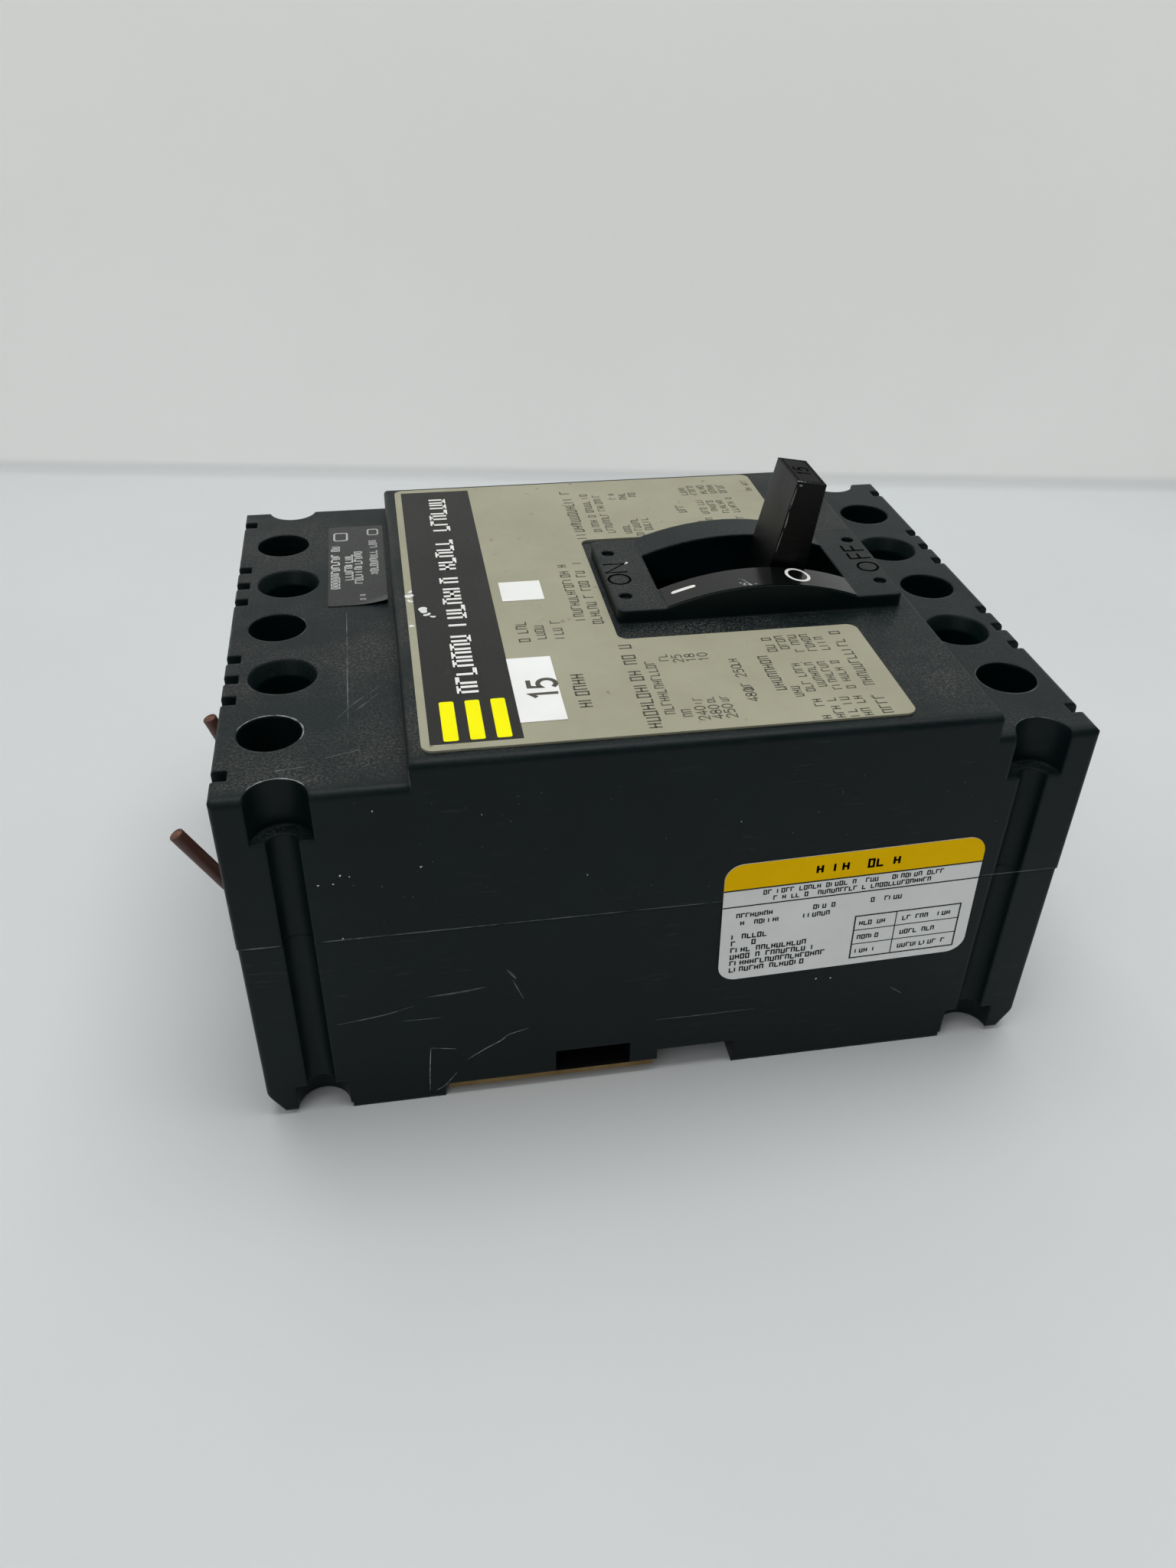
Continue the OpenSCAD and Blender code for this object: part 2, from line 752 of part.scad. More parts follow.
// Raised frame round the handle slot with an arched rail on each side
module escutcheon() {
    round_slab([esc_x0, -esc_w / 2, deck_ceiling], [esc_x1, esc_w / 2, esc_h], esc_corner_r);
    intersection() {
        bar_y([esc_x, arch_h], 2 * arch_r, -esc_w / 2, esc_w / 2);
        span_box(
            [esc_x - handle_slot_l / 2, -esc_w, esc_h - over],
            [esc_x + handle_slot_l / 2, esc_w, esc_h + 2 * arch_rise]
        );
    }
}

// The handle slot through the escutcheon
module handle_slot() {
    span_box(
        [esc_x - handle_slot_l / 2, -handle_slot_w / 2, deck_ceiling - over],
        [esc_x + handle_slot_l / 2, handle_slot_w / 2, esc_h + 2 * arch_rise]
    );
}

// Long screws from the back that hold base and cover together
module case_screws() {
    color("#9a9a94")
    for (x = case_screw_x, y = wall_y)
        translate([x, y, case_head_h])
            difference() {
                union() {
                    cylinder(d = case_head_d, h = case_head_t);
                    cylinder(d = case_screw_d, h = case_screw_top - case_head_h);
                }
                translate([-case_head_d, -screw_slot_w / 2, -over])
                    cube([2 * case_head_d, screw_slot_w, over + 1.2]);
            }
}

// Brown fibre plate in the back recess
module back_fibre_plate() {
    color("#7a5a34")
    span_box(
        [recess_x0 + fibre_gap, -base_half_w, recess_h - fibre_t],
        [recess_x1 - fibre_gap, base_half_w, recess_h]
    );
}

// Plate round the escutcheon, open towards the load end
module rating_plate() {
    color("#a7a28f")
    difference() {
        round_slab(
            [plate_x0, -plate_half_w, deck_h],
            [plate_x1, plate_half_w, deck_h + plate_t],
            plate_r
        );
        round_slab(
            [plate_cut_x, -plate_cut_half, deck_h - over],
            [plate_x1 + 10, plate_cut_half, deck_h + plate_t + over],
            plate_r
        );
        both_sides()
            translate([plate_x1, -plate_cut_half, 0])
                edge_cut_z(plate_r, deck_h - over, deck_h + plate_t + over);
    }
}

// White stickers on the rating plate
module plate_stickers() {
    color("white")
    for (s = [sticker_big, sticker_small])
        translate([s[0], s[1], deck_h + plate_t]) cube([s[2], s[3], sticker_t]);
}

// Label across the seam on the near side
module side_label() {
    color("#e8e6e0")
    translate([side_label_at[0], -half_w, side_label_at[1]])
        rotate([90, -side_label_tilt, 0])
            round_slab(
                [-side_label_size[0] / 2, -side_label_size[1] / 2, 0],
                [side_label_size[0] / 2, side_label_size[1] / 2, sticker_t],
                side_label_r
            );
}

// Dark foil label on the line shelf
module foil_label() {
    color("#141414")
    translate([foil_at[0], foil_at[1], shelf_h]) cube([foil_size[0], foil_size[1], sticker_t]);
}

// Decal on the near arched rail
module rail_decal() {
    color("#303236")
    difference() {
        intersection() {
            bar_y(
                [esc_x, arch_h], 2 * (arch_r + sticker_t),
                -esc_w / 2 + 0.3, -handle_slot_w / 2 - 0.3
            );
            span_box(
                [esc_x - handle_slot_l / 2 + 0.3, -esc_w, esc_h + sticker_t],
                [esc_x + handle_slot_l / 2 - 0.3, 0, esc_h + 2 * arch_rise]
            );
        }
        bar_y([esc_x, arch_h], 2 * arch_r, -esc_w, 0);
    }
}

// Toggle handle with its curved dust shield
module handle() {
    color("#1a1b1d")
    at_off()
        difference() {
            union() {
                plate_y([
                    [-handle_root_t / 2, handle_root_r],
                    [handle_root_t / 2, handle_root_r],
                    [handle_tip_t / 2, handle_r],
                    [-handle_tip_t / 2, handle_r]
                ], -handle_w / 2, handle_w / 2);
                shield();
            }
            span_box(
                [-tongue_t / 2, -tongue_w / 2, 0],
                [tongue_t / 2, tongue_w / 2, yoke_top + tongue_l]
            );
        }
}

// Curved shield that follows the underside of the deck
module shield() {
    reach = 2 * shield_r;
    intersection() {
        difference() {
            bar_y([0, 0], 2 * shield_r, -shield_w / 2, shield_w / 2);
            bar_y([0, 0], 2 * shield_in, -shield_w, shield_w);
        }
        plate_y([
            [0, 0],
            [reach * sin(shield_fore), reach * cos(shield_fore)],
            [0, reach],
            [-reach * sin(shield_back), reach * cos(shield_back)]
        ], -shield_w, shield_w);
    }
}

// Steel yoke that carries the handle on its two pivot pins
module handle_yoke() {
    color("#8d8f90")
    at_off() {
        both_sides()
            difference() {
                union() {
                    link_y([0, 0], [0, yoke_top - yoke_bridge_l / 2], yoke_bridge_l, yoke_in, yoke_out);
                    span_box(
                        [-yoke_bridge_l / 2, yoke_in, yoke_top - yoke_bridge_l / 2],
                        [yoke_bridge_l / 2, yoke_out, yoke_top]
                    );
                }
                bar_y([0, 0], pin_d + 2 * run_gap, 0, frame_out);
            }
        span_box(
            [-yoke_bridge_l / 2, -yoke_out, yoke_top - yoke_bridge_t],
            [yoke_bridge_l / 2, yoke_out, yoke_top]
        );
        span_box(
            [-tongue_t / 2, -tongue_w / 2, yoke_top - over],
            [tongue_t / 2, tongue_w / 2, yoke_top + tongue_l]
        );
    }
}

// Two main springs from the yoke towards the knee of the toggle
module main_springs() {
    color("#b9bbbb")
    both_sides() {
        run = spring_top - spring_foot;
        translate([spring_foot[0], spring_y, spring_foot[1]])
            rotate([0, atan2(run[0], run[1]), 0])
                cylinder(d = spring_d, h = norm(run));
    }
}

// Folded steel frame that carries the mechanism
module mechanism_frame() {
    color("#8a8d8c")
    difference() {
        union() {
            both_sides()
                span_box([frame_x0, frame_in, floor_h], [frame_x1, frame_out, frame_h1]);
            span_box(
                [case_screw_x[1], -frame_out, floor_h],
                [frame_x1 - 4, frame_out, floor_h + frame_floor_t]
            );
        }
        bar_y([crossbar_x, crossbar_h], crossbar_d + 2 * run_gap, -frame_out - over, frame_out + over);
        bar_y([esc_x, pivot_h], pin_d - 2 * grip, -frame_out - over, frame_out + over);
        bar_y(cradle_at, pin_d - 2 * grip, -frame_out - over, frame_out + over);
    }
}

// Pins of the yoke and of the cradle
module pivot_pins() {
    color("#c0c2c2")
    {
        both_sides() bar_y([esc_x, pivot_h], pin_d, yoke_in, frame_out);
        bar_y(cradle_at, pin_d, -frame_out, frame_out);
    }
}

// Latched lever that carries the upper toggle links
module cradle() {
    color("#777a7a")
    {
        difference() {
            union() {
                link_y(cradle_at, cradle_link_at, link_d, -cradle_half, cradle_half);
                link_y(
                    cradle_at,
                    [cradle_nose_x - 1.5, (cradle_nose_h[0] + cradle_nose_h[1]) / 2],
                    3, -cradle_half, cradle_half
                );
                span_box(
                    [cradle_nose_x - 3, -cradle_half, cradle_nose_h[0]],
                    [cradle_nose_x, cradle_half, cradle_nose_h[1]]
                );
            }
            bar_y(cradle_at, pin_d + 2 * run_gap, -over - cradle_half, over + cradle_half);
        }
        bar_y(cradle_link_at, link_pin_d, -upper_link_in - link_t, upper_link_in + link_t);
    }
}

// Upper toggle links, joined by the knee pin
module upper_links() {
    color("#9ea1a1")
    {
        both_sides()
            difference() {
                link_y(cradle_link_at, knee_at, link_d - 1, upper_link_in, upper_link_in + link_t);
                bar_y(cradle_link_at, link_pin_d + 2 * run_gap, 0, frame_in);
            }
        bar_y(knee_at, link_pin_d, -upper_link_in - link_t, upper_link_in + link_t);
    }
}

// Lower toggle links, open at the knee
module lower_links() {
    color("#9ea1a1")
    both_sides()
        difference() {
            link_y(drive_pin_at, knee_at, link_d - 1, lower_link_in, lower_link_in + link_t);
            bar_y(drive_pin_at, link_pin_d + 2 * run_gap, 0, frame_in);
            bar_y(knee_at, link_pin_d + 2 * pass_gap, 0, frame_in);
        }
}

// Insulating crossbar with a carrier for each contact arm and the drive pins
module crossbar() {
    reach = pole_pitch + 12;
    color("#5b4632")
    {
        opened()
            difference() {
                union() {
                    bar_y([crossbar_x, crossbar_h], crossbar_d, -reach, reach);
                    for (y = pole_y)
                        span_box(
                            [carrier_x0, y - carrier_half, carrier_h0],
                            [carrier_x1, y + carrier_half, carrier_h1]
                        );
                }
                for (y = pole_y) {
                    span_box(
                        [carrier_x0 - over - 3, y - arm_w / 2, arm_h],
                        [arm_tail_x, y + arm_w / 2, arm_h + arm_t]
                    );
                    translate([crossbar_x, y, arm_h + arm_t - 0.01])
                        cylinder(d = contact_spring_d + 2 * slot_gap, h = contact_spring_l + 0.01);
                }
            }
        both_sides()
            bar_y(drive_pin_at, link_pin_d, carrier_half - over, lower_link_in + link_t);
    }
}

// Contact springs between each arm and its carrier
module contact_springs() {
    color("#b9bbbb")
    opened()
        for (y = pole_y)
            translate([crossbar_x, y, arm_h + arm_t])
                cylinder(d = contact_spring_d, h = contact_spring_l);
}

// Moving contact arm with its pad
module contact_arm(y) {
    color("#b5713c")
    opened() {
        span_box([contact_x - 3, y - arm_w / 2, arm_h], [arm_tail_x, y + arm_w / 2, arm_h + arm_t]);
        span_box(
            [contact_x - 3, y - arm_w / 2, arm_h - pad_t],
            [contact_x + 3, y + arm_w / 2, arm_h]
        );
    }
}

// Line strap with the fixed contact pad
module line_strap(y) {
    color("#b5713c")
    {
        span_box(
            [-access_x - 3, y - strap_w / 2, strap_h],
            [contact_x + 4, y + strap_w / 2, strap_top]
        );
        span_box(
            [contact_x - 3, y - arm_w / 2, strap_top],
            [contact_x + 3, y + arm_w / 2, pad_top]
        );
    }
}

// Load strap that rises to the hook of the bimetal
module load_strap(y) {
    color("#b5713c")
    {
        span_box([riser_x0, y - strap_w / 2, strap_h], [access_x + 3, y + strap_w / 2, strap_top]);
        span_box([riser_x0, y - bimetal_w / 2, strap_h], [riser_x1, y + bimetal_w / 2, trip_top_h]);
        span_box(
            [bimetal_x1, y - bimetal_w / 2, trip_top_h - hook_t],
            [riser_x1, y + bimetal_w / 2, trip_top_h]
        );
    }
}

// Aluminium lug with a wire bore, a screw hole and a slot for its strap, drawn at the load end
module lug_at_load(y) {
    difference() {
        span_box(
            [lug_back, y - lug_w / 2, strap_h - lug_sole],
            [lug_mouth, y + lug_w / 2, lug_top]
        );
        span_box(
            [lug_back - over, y - strap_w / 2 - slot_gap, strap_h],
            [access_x + 3 + slot_gap, y + strap_w / 2 + slot_gap, strap_top]
        );
        translate([lug_back - over, y, wire_bore_h])
            rotate([0, 90, 0]) cylinder(d = wire_bore_d, h = lug_l + 2 * over);
        translate([access_x, y, wire_bore_h])
            cylinder(d = lug_screw_d + 2 * run_gap, h = lug_top - wire_bore_h + over);
    }
}

// Lug at the line end
module line_lug(y) {
    color("#b4b6b6") mirror([1, 0, 0]) lug_at_load(y);
}

// Lug at the load end
module load_lug(y) {
    color("#b4b6b6") lug_at_load(y);
}

// Slotted lug screw with its dog point at a height
module lug_screw(x, y, tip_h) {
    color("#9a9c9b")
    translate([x, y, tip_h])
        difference() {
            union() {
                cylinder(d = screw_tip_d, h = screw_tip_l + over);
                translate([0, 0, screw_tip_l])
                    cylinder(d = lug_screw_d, h = lug_screw_l - screw_tip_l);
            }
            translate([-lug_screw_d, -screw_slot_w / 2, lug_screw_l - screw_slot_deep])
                cube([2 * lug_screw_d, screw_slot_w, screw_slot_deep + over]);
        }
}

// Arc chute of steel plates between two fibre sides
module arc_chute(y) {
    color("#6f6a60")
    translate([0, y, 0]) {
        both_sides()
            span_box([chute_x0, chute_in, floor_h], [chute_x1, chute_in + chute_side_t, chute_h1]);
        for (i = [0:chute_plates - 1]) {
            plate_h = chute_first_h + i * chute_pitch;
            difference() {
                span_box(
                    [chute_x0, -chute_in, plate_h],
                    [chute_x1, chute_in, plate_h + chute_plate_t]
                );
                translate([chute_x1, 0, plate_h - over])
                    cylinder(d = chute_notch_d, h = chute_plate_t + 2 * over);
            }
        }
    }
}

// Flexible braid from beside the arm's tail, along the floor, to the bimetal's foot
module braid(y) {
    color("#b8763f")
    {
        span_box(
            [braid_x0, y + braid_y0, braid_h0],
            [bimetal_x0, y + braid_y0 + braid_t, braid_h0 + braid_t]
        );
        span_box(
            [braid_x0, y + braid_y0, braid_h0],
            [braid_x0 + braid_t, y + braid_y0 + braid_t, braid_top]
        );
        span_box(
            [braid_x0, y + braid_y0, braid_top - braid_t],
            [braid_x0 + braid_t, y + arm_w / 2, braid_top]
        );
    }
}

// Bimetal that hangs from the load strap, with a foot for the braid
module bimetal(y) {
    color("#c9b87a")
    {
        span_box(
            [bimetal_x0, y - bimetal_w / 2, bimetal_foot_h],
            [bimetal_x1, y + bimetal_w / 2, trip_top_h]
        );
        span_box(
            [bimetal_x0, y + braid_y0, braid_h0],
            [bimetal_x1, y - bimetal_w / 2 + 1, braid_h0 + braid_t + 2]
        );
    }
}

// Magnet behind the load strap, with the pin of its armature
module magnet(y) {
    color("#6b6e6f")
    translate([0, y, 0]) {
        span_box([riser_x1, -magnet_out, magnet_h0], [magnet_x1, magnet_out, magnet_h1]);
        both_sides() {
            span_box([magnet_x0, magnet_in, magnet_h0], [magnet_x1, magnet_out, magnet_h1]);
            span_box(
                [armature_pin_at[0] - magnet_ear, magnet_in, magnet_h1 - magnet_ear],
                [magnet_x1 - magnet_ear / 2, magnet_out, armature_pin_at[1] + magnet_ear]
            );
        }
        bar_y(armature_pin_at, armature_pin_d, -magnet_out, magnet_out);
    }
}

// Armature that hangs on the magnet's pin
module armature(y) {
    eye_half = magnet_in - 0.4;
    color("#7c7f80")
    translate([0, y, 0])
        difference() {
            union() {
                bar_y(armature_pin_at, armature_eye_d, -eye_half, eye_half);
                span_box(
                    [armature_x0, -eye_half, armature_foot_h],
                    [armature_x1, eye_half, armature_pin_at[1]]
                );
                span_box(
                    [armature_x0, -eye_half, armature_foot_h],
                    [armature_x1, ear_y1, armature_foot_h + 4]
                );
                span_box(
                    [armature_x0, -magnet_out, armature_foot_h],
                    [armature_x1, magnet_out, magnet_h1 - 4]
                );
            }
            bar_y(armature_pin_at, armature_pin_d + 2 * run_gap, -magnet_out, magnet_out);
        }
}

// Trip bar with two tabs for each pole and the latch arm of the cradle
module trip_bar() {
    reach = pole_pitch + 12;
    at = [trip_bar_x, trip_bar_h];
    foot_x1 = bimetal_x0 - 1;
    color("#3d3a34")
    {
        bar_y(at, trip_bar_d, -reach, reach);
        for (y = pole_y)
            translate([0, y, 0]) {
                span_box([at[0], -3, at[1] - 3], [foot_x1, 3, at[1] - 1]);
                span_box([foot_x1 - 1.6, -3, bimetal_foot_h - 0.8], [foot_x1, 3, at[1] - 1]);
                span_box(
                    [at[0], ear_y0, at[1] - 1.5],
                    [trip_tab_x0 + trip_tab_t, ear_y1, at[1] + 1.5]
                );
                span_box(
                    [trip_tab_x0, ear_y0, at[1] - 1.5],
                    [trip_tab_x0 + trip_tab_t, ear_y1, armature_foot_h + 3.5]
                );
            }
        plate_y([
            [latch_x0, at[1] + 3.5],
            at + [-2, -2],
            at + [2, 0],
            [latch_x0 + latch_t, latch_top - 4],
            [latch_x0 + latch_t, latch_top],
            [latch_x0, latch_top]
        ], -2.5, 2.5);
    }
}

// Direction of a route at one of its points
function heading(route, i) =
    let (a = route[max(i - 1, 0)], b = route[min(i + 1, len(route) - 1)])
    (b - a) / norm(b - a);

// One ring of a tube whose route lies in the XZ plane at y
function ring(at, dir, y, d) = [
    for (k = [0:wire_sides - 1])
        let (turn = 360 * k / wire_sides, side = d / 2 * cos(turn), up = d / 2 * sin(turn))
        [at[0] - up * dir[1], y + side, at[1] + up * dir[0]]
];

// A closed tube along a route in the XZ plane at y
module tube(route, y, d) {
    n = len(route);
    points = [for (i = [0:n - 1]) each ring(route[i], heading(route, i), y, d)];
    sides = [
        for (i = [0:n - 2], k = [0:wire_sides - 1])
            let (
                a = i * wire_sides + k,
                b = i * wire_sides + (k + 1) % wire_sides,
                up = wire_sides
            )
            each [[a, b, b + up], [a, b + up, a + up]]
    ];
    start = [for (k = [1:wire_sides - 2]) [0, k + 1, k]];
    last = (n - 1) * wire_sides;
    finish = [for (k = [1:wire_sides - 2]) [last, last + k, last + k + 1]];
    polyhedron(points, concat(sides, start, finish), convexity = 4);
}

// Cut wire stub in the line lug of the near pole
module wire_stub_a() {
    color("#6a4238") tube(wire_route_a, pole_y[0], wire_d);
}

// Cut wire stub in the line lug of the middle pole
module wire_stub_b() {
    color("#6a4238") tube(wire_route_b, pole_y[1], wire_d);
}

base();
cover();
case_screws();
back_fibre_plate();
rating_plate();
plate_stickers();
side_label();
foil_label();
rail_decal();
handle();
handle_yoke();
main_springs();
mechanism_frame();
pivot_pins();
cradle();
upper_links();
lower_links();
crossbar();
contact_springs();
trip_bar();
wire_stub_a();
wire_stub_b();
for (i = [0:2]) {
    y = pole_y[i];
    id = pole_id[i];
    line_lug(y);
    load_lug(y);
    lug_screw(-access_x, y, id == "c" ? screw_open : screw_on_wire);
    lug_screw(access_x, y, screw_open);
    line_strap(y);
    load_strap(y);
    arc_chute(y);
    contact_arm(y);
    braid(y);
    bimetal(y);
    magnet(y);
    armature(y);
}
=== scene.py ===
import json
import bpy
import numpy as np
from mathutils import Matrix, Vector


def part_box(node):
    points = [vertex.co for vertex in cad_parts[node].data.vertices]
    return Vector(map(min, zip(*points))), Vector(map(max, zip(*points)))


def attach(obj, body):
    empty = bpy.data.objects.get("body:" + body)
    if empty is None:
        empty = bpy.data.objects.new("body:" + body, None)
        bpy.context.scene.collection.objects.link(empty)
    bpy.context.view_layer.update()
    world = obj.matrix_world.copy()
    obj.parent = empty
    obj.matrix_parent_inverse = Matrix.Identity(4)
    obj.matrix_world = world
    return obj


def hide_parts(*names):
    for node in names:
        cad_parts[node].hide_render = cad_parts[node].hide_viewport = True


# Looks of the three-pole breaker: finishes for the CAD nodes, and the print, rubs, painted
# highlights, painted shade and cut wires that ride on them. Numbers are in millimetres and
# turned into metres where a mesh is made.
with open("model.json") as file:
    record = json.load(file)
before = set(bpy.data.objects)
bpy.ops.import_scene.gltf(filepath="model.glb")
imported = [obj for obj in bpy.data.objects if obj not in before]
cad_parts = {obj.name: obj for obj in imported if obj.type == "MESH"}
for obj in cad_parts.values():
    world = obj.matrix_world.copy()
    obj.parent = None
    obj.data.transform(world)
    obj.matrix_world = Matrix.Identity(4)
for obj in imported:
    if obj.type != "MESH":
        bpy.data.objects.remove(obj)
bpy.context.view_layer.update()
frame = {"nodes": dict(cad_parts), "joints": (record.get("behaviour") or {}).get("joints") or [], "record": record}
nodes = frame["nodes"]
MM = 0.001


def node_box(name):
    """A CAD node's lowest and highest corner, in millimetres."""
    return [np.array(corner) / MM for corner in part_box(name)]


def joint_at(name):
    """The point that a joint turns about, in millimetres."""
    return next(np.array(j["pos_m"]) / MM for j in frame["joints"] if j["name"] == name)


case_low, case_high = node_box("cover")
plate_low, plate_high = node_box("rating_plate")
sticker_high = node_box("plate_stickers")[1]
label_low, label_high = node_box("side_label")
foil_low, foil_high = node_box("foil_label")
decal_low, decal_high = node_box("rail_decal")
lug_low = node_box("line_lug_a")[0]

# Places on the case that several pieces share
half_l, half_w = case_high[0], case_high[1]
seam_z, shelf_z, deck_z = case_low[2], foil_low[2], plate_low[2]
base_inset = 0.2
deck_x0, deck_x1 = plate_low[0] - 2.4, 57.1
esc_z = 82.4
handle_half_w = 6.4

# ------------------------------------------------------------------ camera
camera_at = np.array([-44.64, -217.63, 189.99])
camera_right = np.array([0.9857, -0.1678, 0.0174])
camera_down = np.array([-0.0839, -0.5773, -0.8122])
focal_px = 1586.35
photo_long_px = 2048
sensor_mm = 36


def make_camera():
    """A pinhole at the photograph's place: its columns are the right, up and back directions."""
    right = camera_right / np.linalg.norm(camera_right)
    down = camera_down - right * (right @ camera_down)
    down /= np.linalg.norm(down)
    axes = np.eye(4)
    axes[:3, :3] = np.stack([right, -down, -np.cross(right, down)], 1)
    axes[:3, 3] = camera_at * MM
    data = bpy.data.cameras.new("photo_camera")
    data.sensor_width = sensor_mm
    data.lens = sensor_mm * focal_px / photo_long_px
    data.clip_start = 0.005
    camera = bpy.data.objects.new("photo_camera", data)
    bpy.context.scene.collection.objects.link(camera)
    camera.matrix_world = Matrix(axes.tolist())
    bpy.context.scene.camera = camera


make_camera()


# ------------------------------------------------------------------ node helpers
def ink(red, green, blue):
    """A screen colour, 0 to 255, as linear RGBA."""
    c = np.array([red, green, blue]) / 255
    linear = np.where(c <= 0.04045, c / 12.92, ((c + 0.055) / 1.055) ** 2.4)
    return (*linear.tolist(), 1.0)


class Net:
    """Adds nodes to a tree. An input takes a socket as a link and anything else as its value."""

    def __init__(self, tree):
        self.tree = tree

    def node(self, kind, ins=None, **settings):
        made = self.tree.nodes.new(kind)
        for key, value in settings.items():
            setattr(made, key, value)
        for key, value in (ins or {}).items():
            self.put(made.inputs[key], value)
        return made

    def put(self, socket, value):
        if isinstance(value, bpy.types.NodeSocket):
            self.tree.links.new(value, socket)
        else:
            socket.default_value = value

    def math(self, operation, a, b=0.0, clamp=False):
        made = self.node("ShaderNodeMath", {0: a, 1: b}, operation=operation, use_clamp=clamp)
        return made.outputs[0]

    def product(self, first, *others):
        """Values multiplied one after the other."""
        for other in others:
            first = self.math("MULTIPLY", first, other)
        return first

    def vector(self, operation, a, b=(0, 0, 0)):
        return self.node("ShaderNodeVectorMath", {0: a, 1: b}, operation=operation).outputs[0]

    def noise(self, vector, scale, detail=3.0, rough=0.55):
        return self.node("ShaderNodeTexNoise", {
            "Vector": vector, "Scale": scale, "Detail": detail, "Roughness": rough}).outputs[0]

    def span(self, value, low, high, to_low=0.0, to_high=1.0):
        """The value's stretch from low to high, mapped onto another stretch and held at its ends."""
        return self.node("ShaderNodeMapRange", {
            "Value": value, "From Min": low, "From Max": high,
            "To Min": to_low, "To Max": to_high}).outputs[0]

    def looking_up(self, low, high, to_low=0.0, to_high=1.0):
        """How far a face looks up, taken from its normal's Z."""
        normal = self.node("ShaderNodeNewGeometry").outputs["Normal"]
        return self.span(self.parts(normal)[2], low, high, to_low, to_high)

    def parts(self, vector):
        """A vector's X, Y and Z."""
        return self.node("ShaderNodeSeparateXYZ", {0: vector}).outputs

    def blend(self, factor, a, b):
        mix = self.node("ShaderNodeMix", data_type="RGBA")
        for index, value in ((0, factor), (6, a), (7, b)):
            self.put(mix.inputs[index], value)
        return mix.outputs[2]

    def shared(self, tree, **ins):
        """One of the shared groups, with its own values."""
        made = self.node("ShaderNodeGroup", node_tree=tree)
        for key, value in ins.items():
            self.put(made.inputs[key.replace("_", " ").title()], value)
        return made.outputs


def make_group(name, ins, outs, wire):
    """A shader node group with named sockets; wire(net, inputs) returns its outputs in order."""
    tree = bpy.data.node_groups.new(name, "ShaderNodeTree")
    for label, kind in ins:
        tree.interface.new_socket(label, in_out="INPUT", socket_type="NodeSocket" + kind)
    for label in outs:
        tree.interface.new_socket(label, in_out="OUTPUT", socket_type="NodeSocketFloat")
    net = Net(tree)
    entry, leave = net.node("NodeGroupInput"), net.node("NodeGroupOutput")
    for socket, value in zip(leave.inputs, wire(net, entry.outputs)):
        net.put(socket, value)
    return tree


def wire_grain(net, ins):
    """Moulded skin: fine grain as a height, and slow mottling of the surface as a mask."""
    fine = net.noise(ins["Vector"], ins["Grain Scale"], 4.0, 0.6)
    slow = net.noise(ins["Vector"], ins["Mottle Scale"], 4.0, 0.6)
    return fine, net.span(slow, 0.32, 0.68)


def wire_rub(net, ins):
    """Hairline rubs: noise drawn out along one axis, kept where it peaks and a slow noise allows."""
    drawn = net.vector("MULTIPLY", ins["Vector"], ins["Stretch"])
    lines = net.span(net.noise(drawn, ins["Scale"], 2.0, 0.5), 0.62, 0.74)
    areas = net.span(net.noise(ins["Vector"], 38.0, 2.0), 0.45, 0.7)
    return (net.product(lines, areas, ins["Amount"]),)


def wire_dust(net, ins):
    """Dust that has settled: specks on faces that look up, thicker in slow patches."""
    up = net.looking_up(0.3, 0.9)
    specks = net.span(net.noise(ins["Vector"], ins["Scale"], 3.0, 0.7), 0.45, 0.70)
    patches = net.span(net.noise(ins["Vector"], 42.0, 5.0, 0.65), 0.42, 0.62, 0.18, 1.0)
    return (net.product(specks, patches, net.product(up, ins["Amount"])),)


def wire_edge(net, ins):
    """Rubbed edges of a box: the second smallest distance to its faces, broken up by noise, and
    only inside a second box, the gate."""
    def depth(centre, half):
        off = net.vector("ABSOLUTE", net.vector("SUBTRACT", ins["Vector"], ins[centre]))
        return list(net.parts(net.vector("SUBTRACT", ins[half], off)))

    a, b, c = depth("Centre", "Half")
    second = net.math("MAXIMUM", net.math("MINIMUM", a, b),
                      net.math("MINIMUM", net.math("MAXIMUM", a, b), c))
    d, e, f = depth("Gate Centre", "Gate Half")
    inside = net.math("GREATER_THAN", net.math("MINIMUM", net.math("MINIMUM", d, e), f), 0.0)
    worn = net.span(net.noise(ins["Vector"], ins["Break Scale"], 3.0, 0.65), 0.40, 0.75)
    near = net.math("LESS_THAN", net.math("ABSOLUTE", second), net.product(ins["Width"], worn))
    return (net.product(near, inside),)


grain_group = make_group("moulded_grain", [
    ("Vector", "Vector"), ("Grain Scale", "Float"), ("Mottle Scale", "Float")],
    ["Height", "Mottle"], wire_grain)
rub_group = make_group("hairline_rub", [
    ("Vector", "Vector"), ("Stretch", "Vector"), ("Scale", "Float"), ("Amount", "Float")],
    ["Mask"], wire_rub)
dust_group = make_group("settled_dust", [
    ("Vector", "Vector"), ("Scale", "Float"), ("Amount", "Float")], ["Mask"], wire_dust)
edge_group = make_group("rubbed_edge", [
    ("Vector", "Vector"), ("Centre", "Vector"), ("Half", "Vector"), ("Gate Centre", "Vector"),
    ("Gate Half", "Vector"), ("Width", "Float"), ("Break Scale", "Float")], ["Mask"], wire_edge)


# ------------------------------------------------------------------ finishes
def new_finish(name):
    """An empty material with its Principled shader, and the Object coordinates of its piece."""
    material = bpy.data.materials.new(name)
    material.use_nodes = True
    net = Net(material.node_tree)
    shader = material.node_tree.nodes["Principled BSDF"]
    return material, net, shader, net.node("ShaderNodeTexCoord").outputs["Object"]


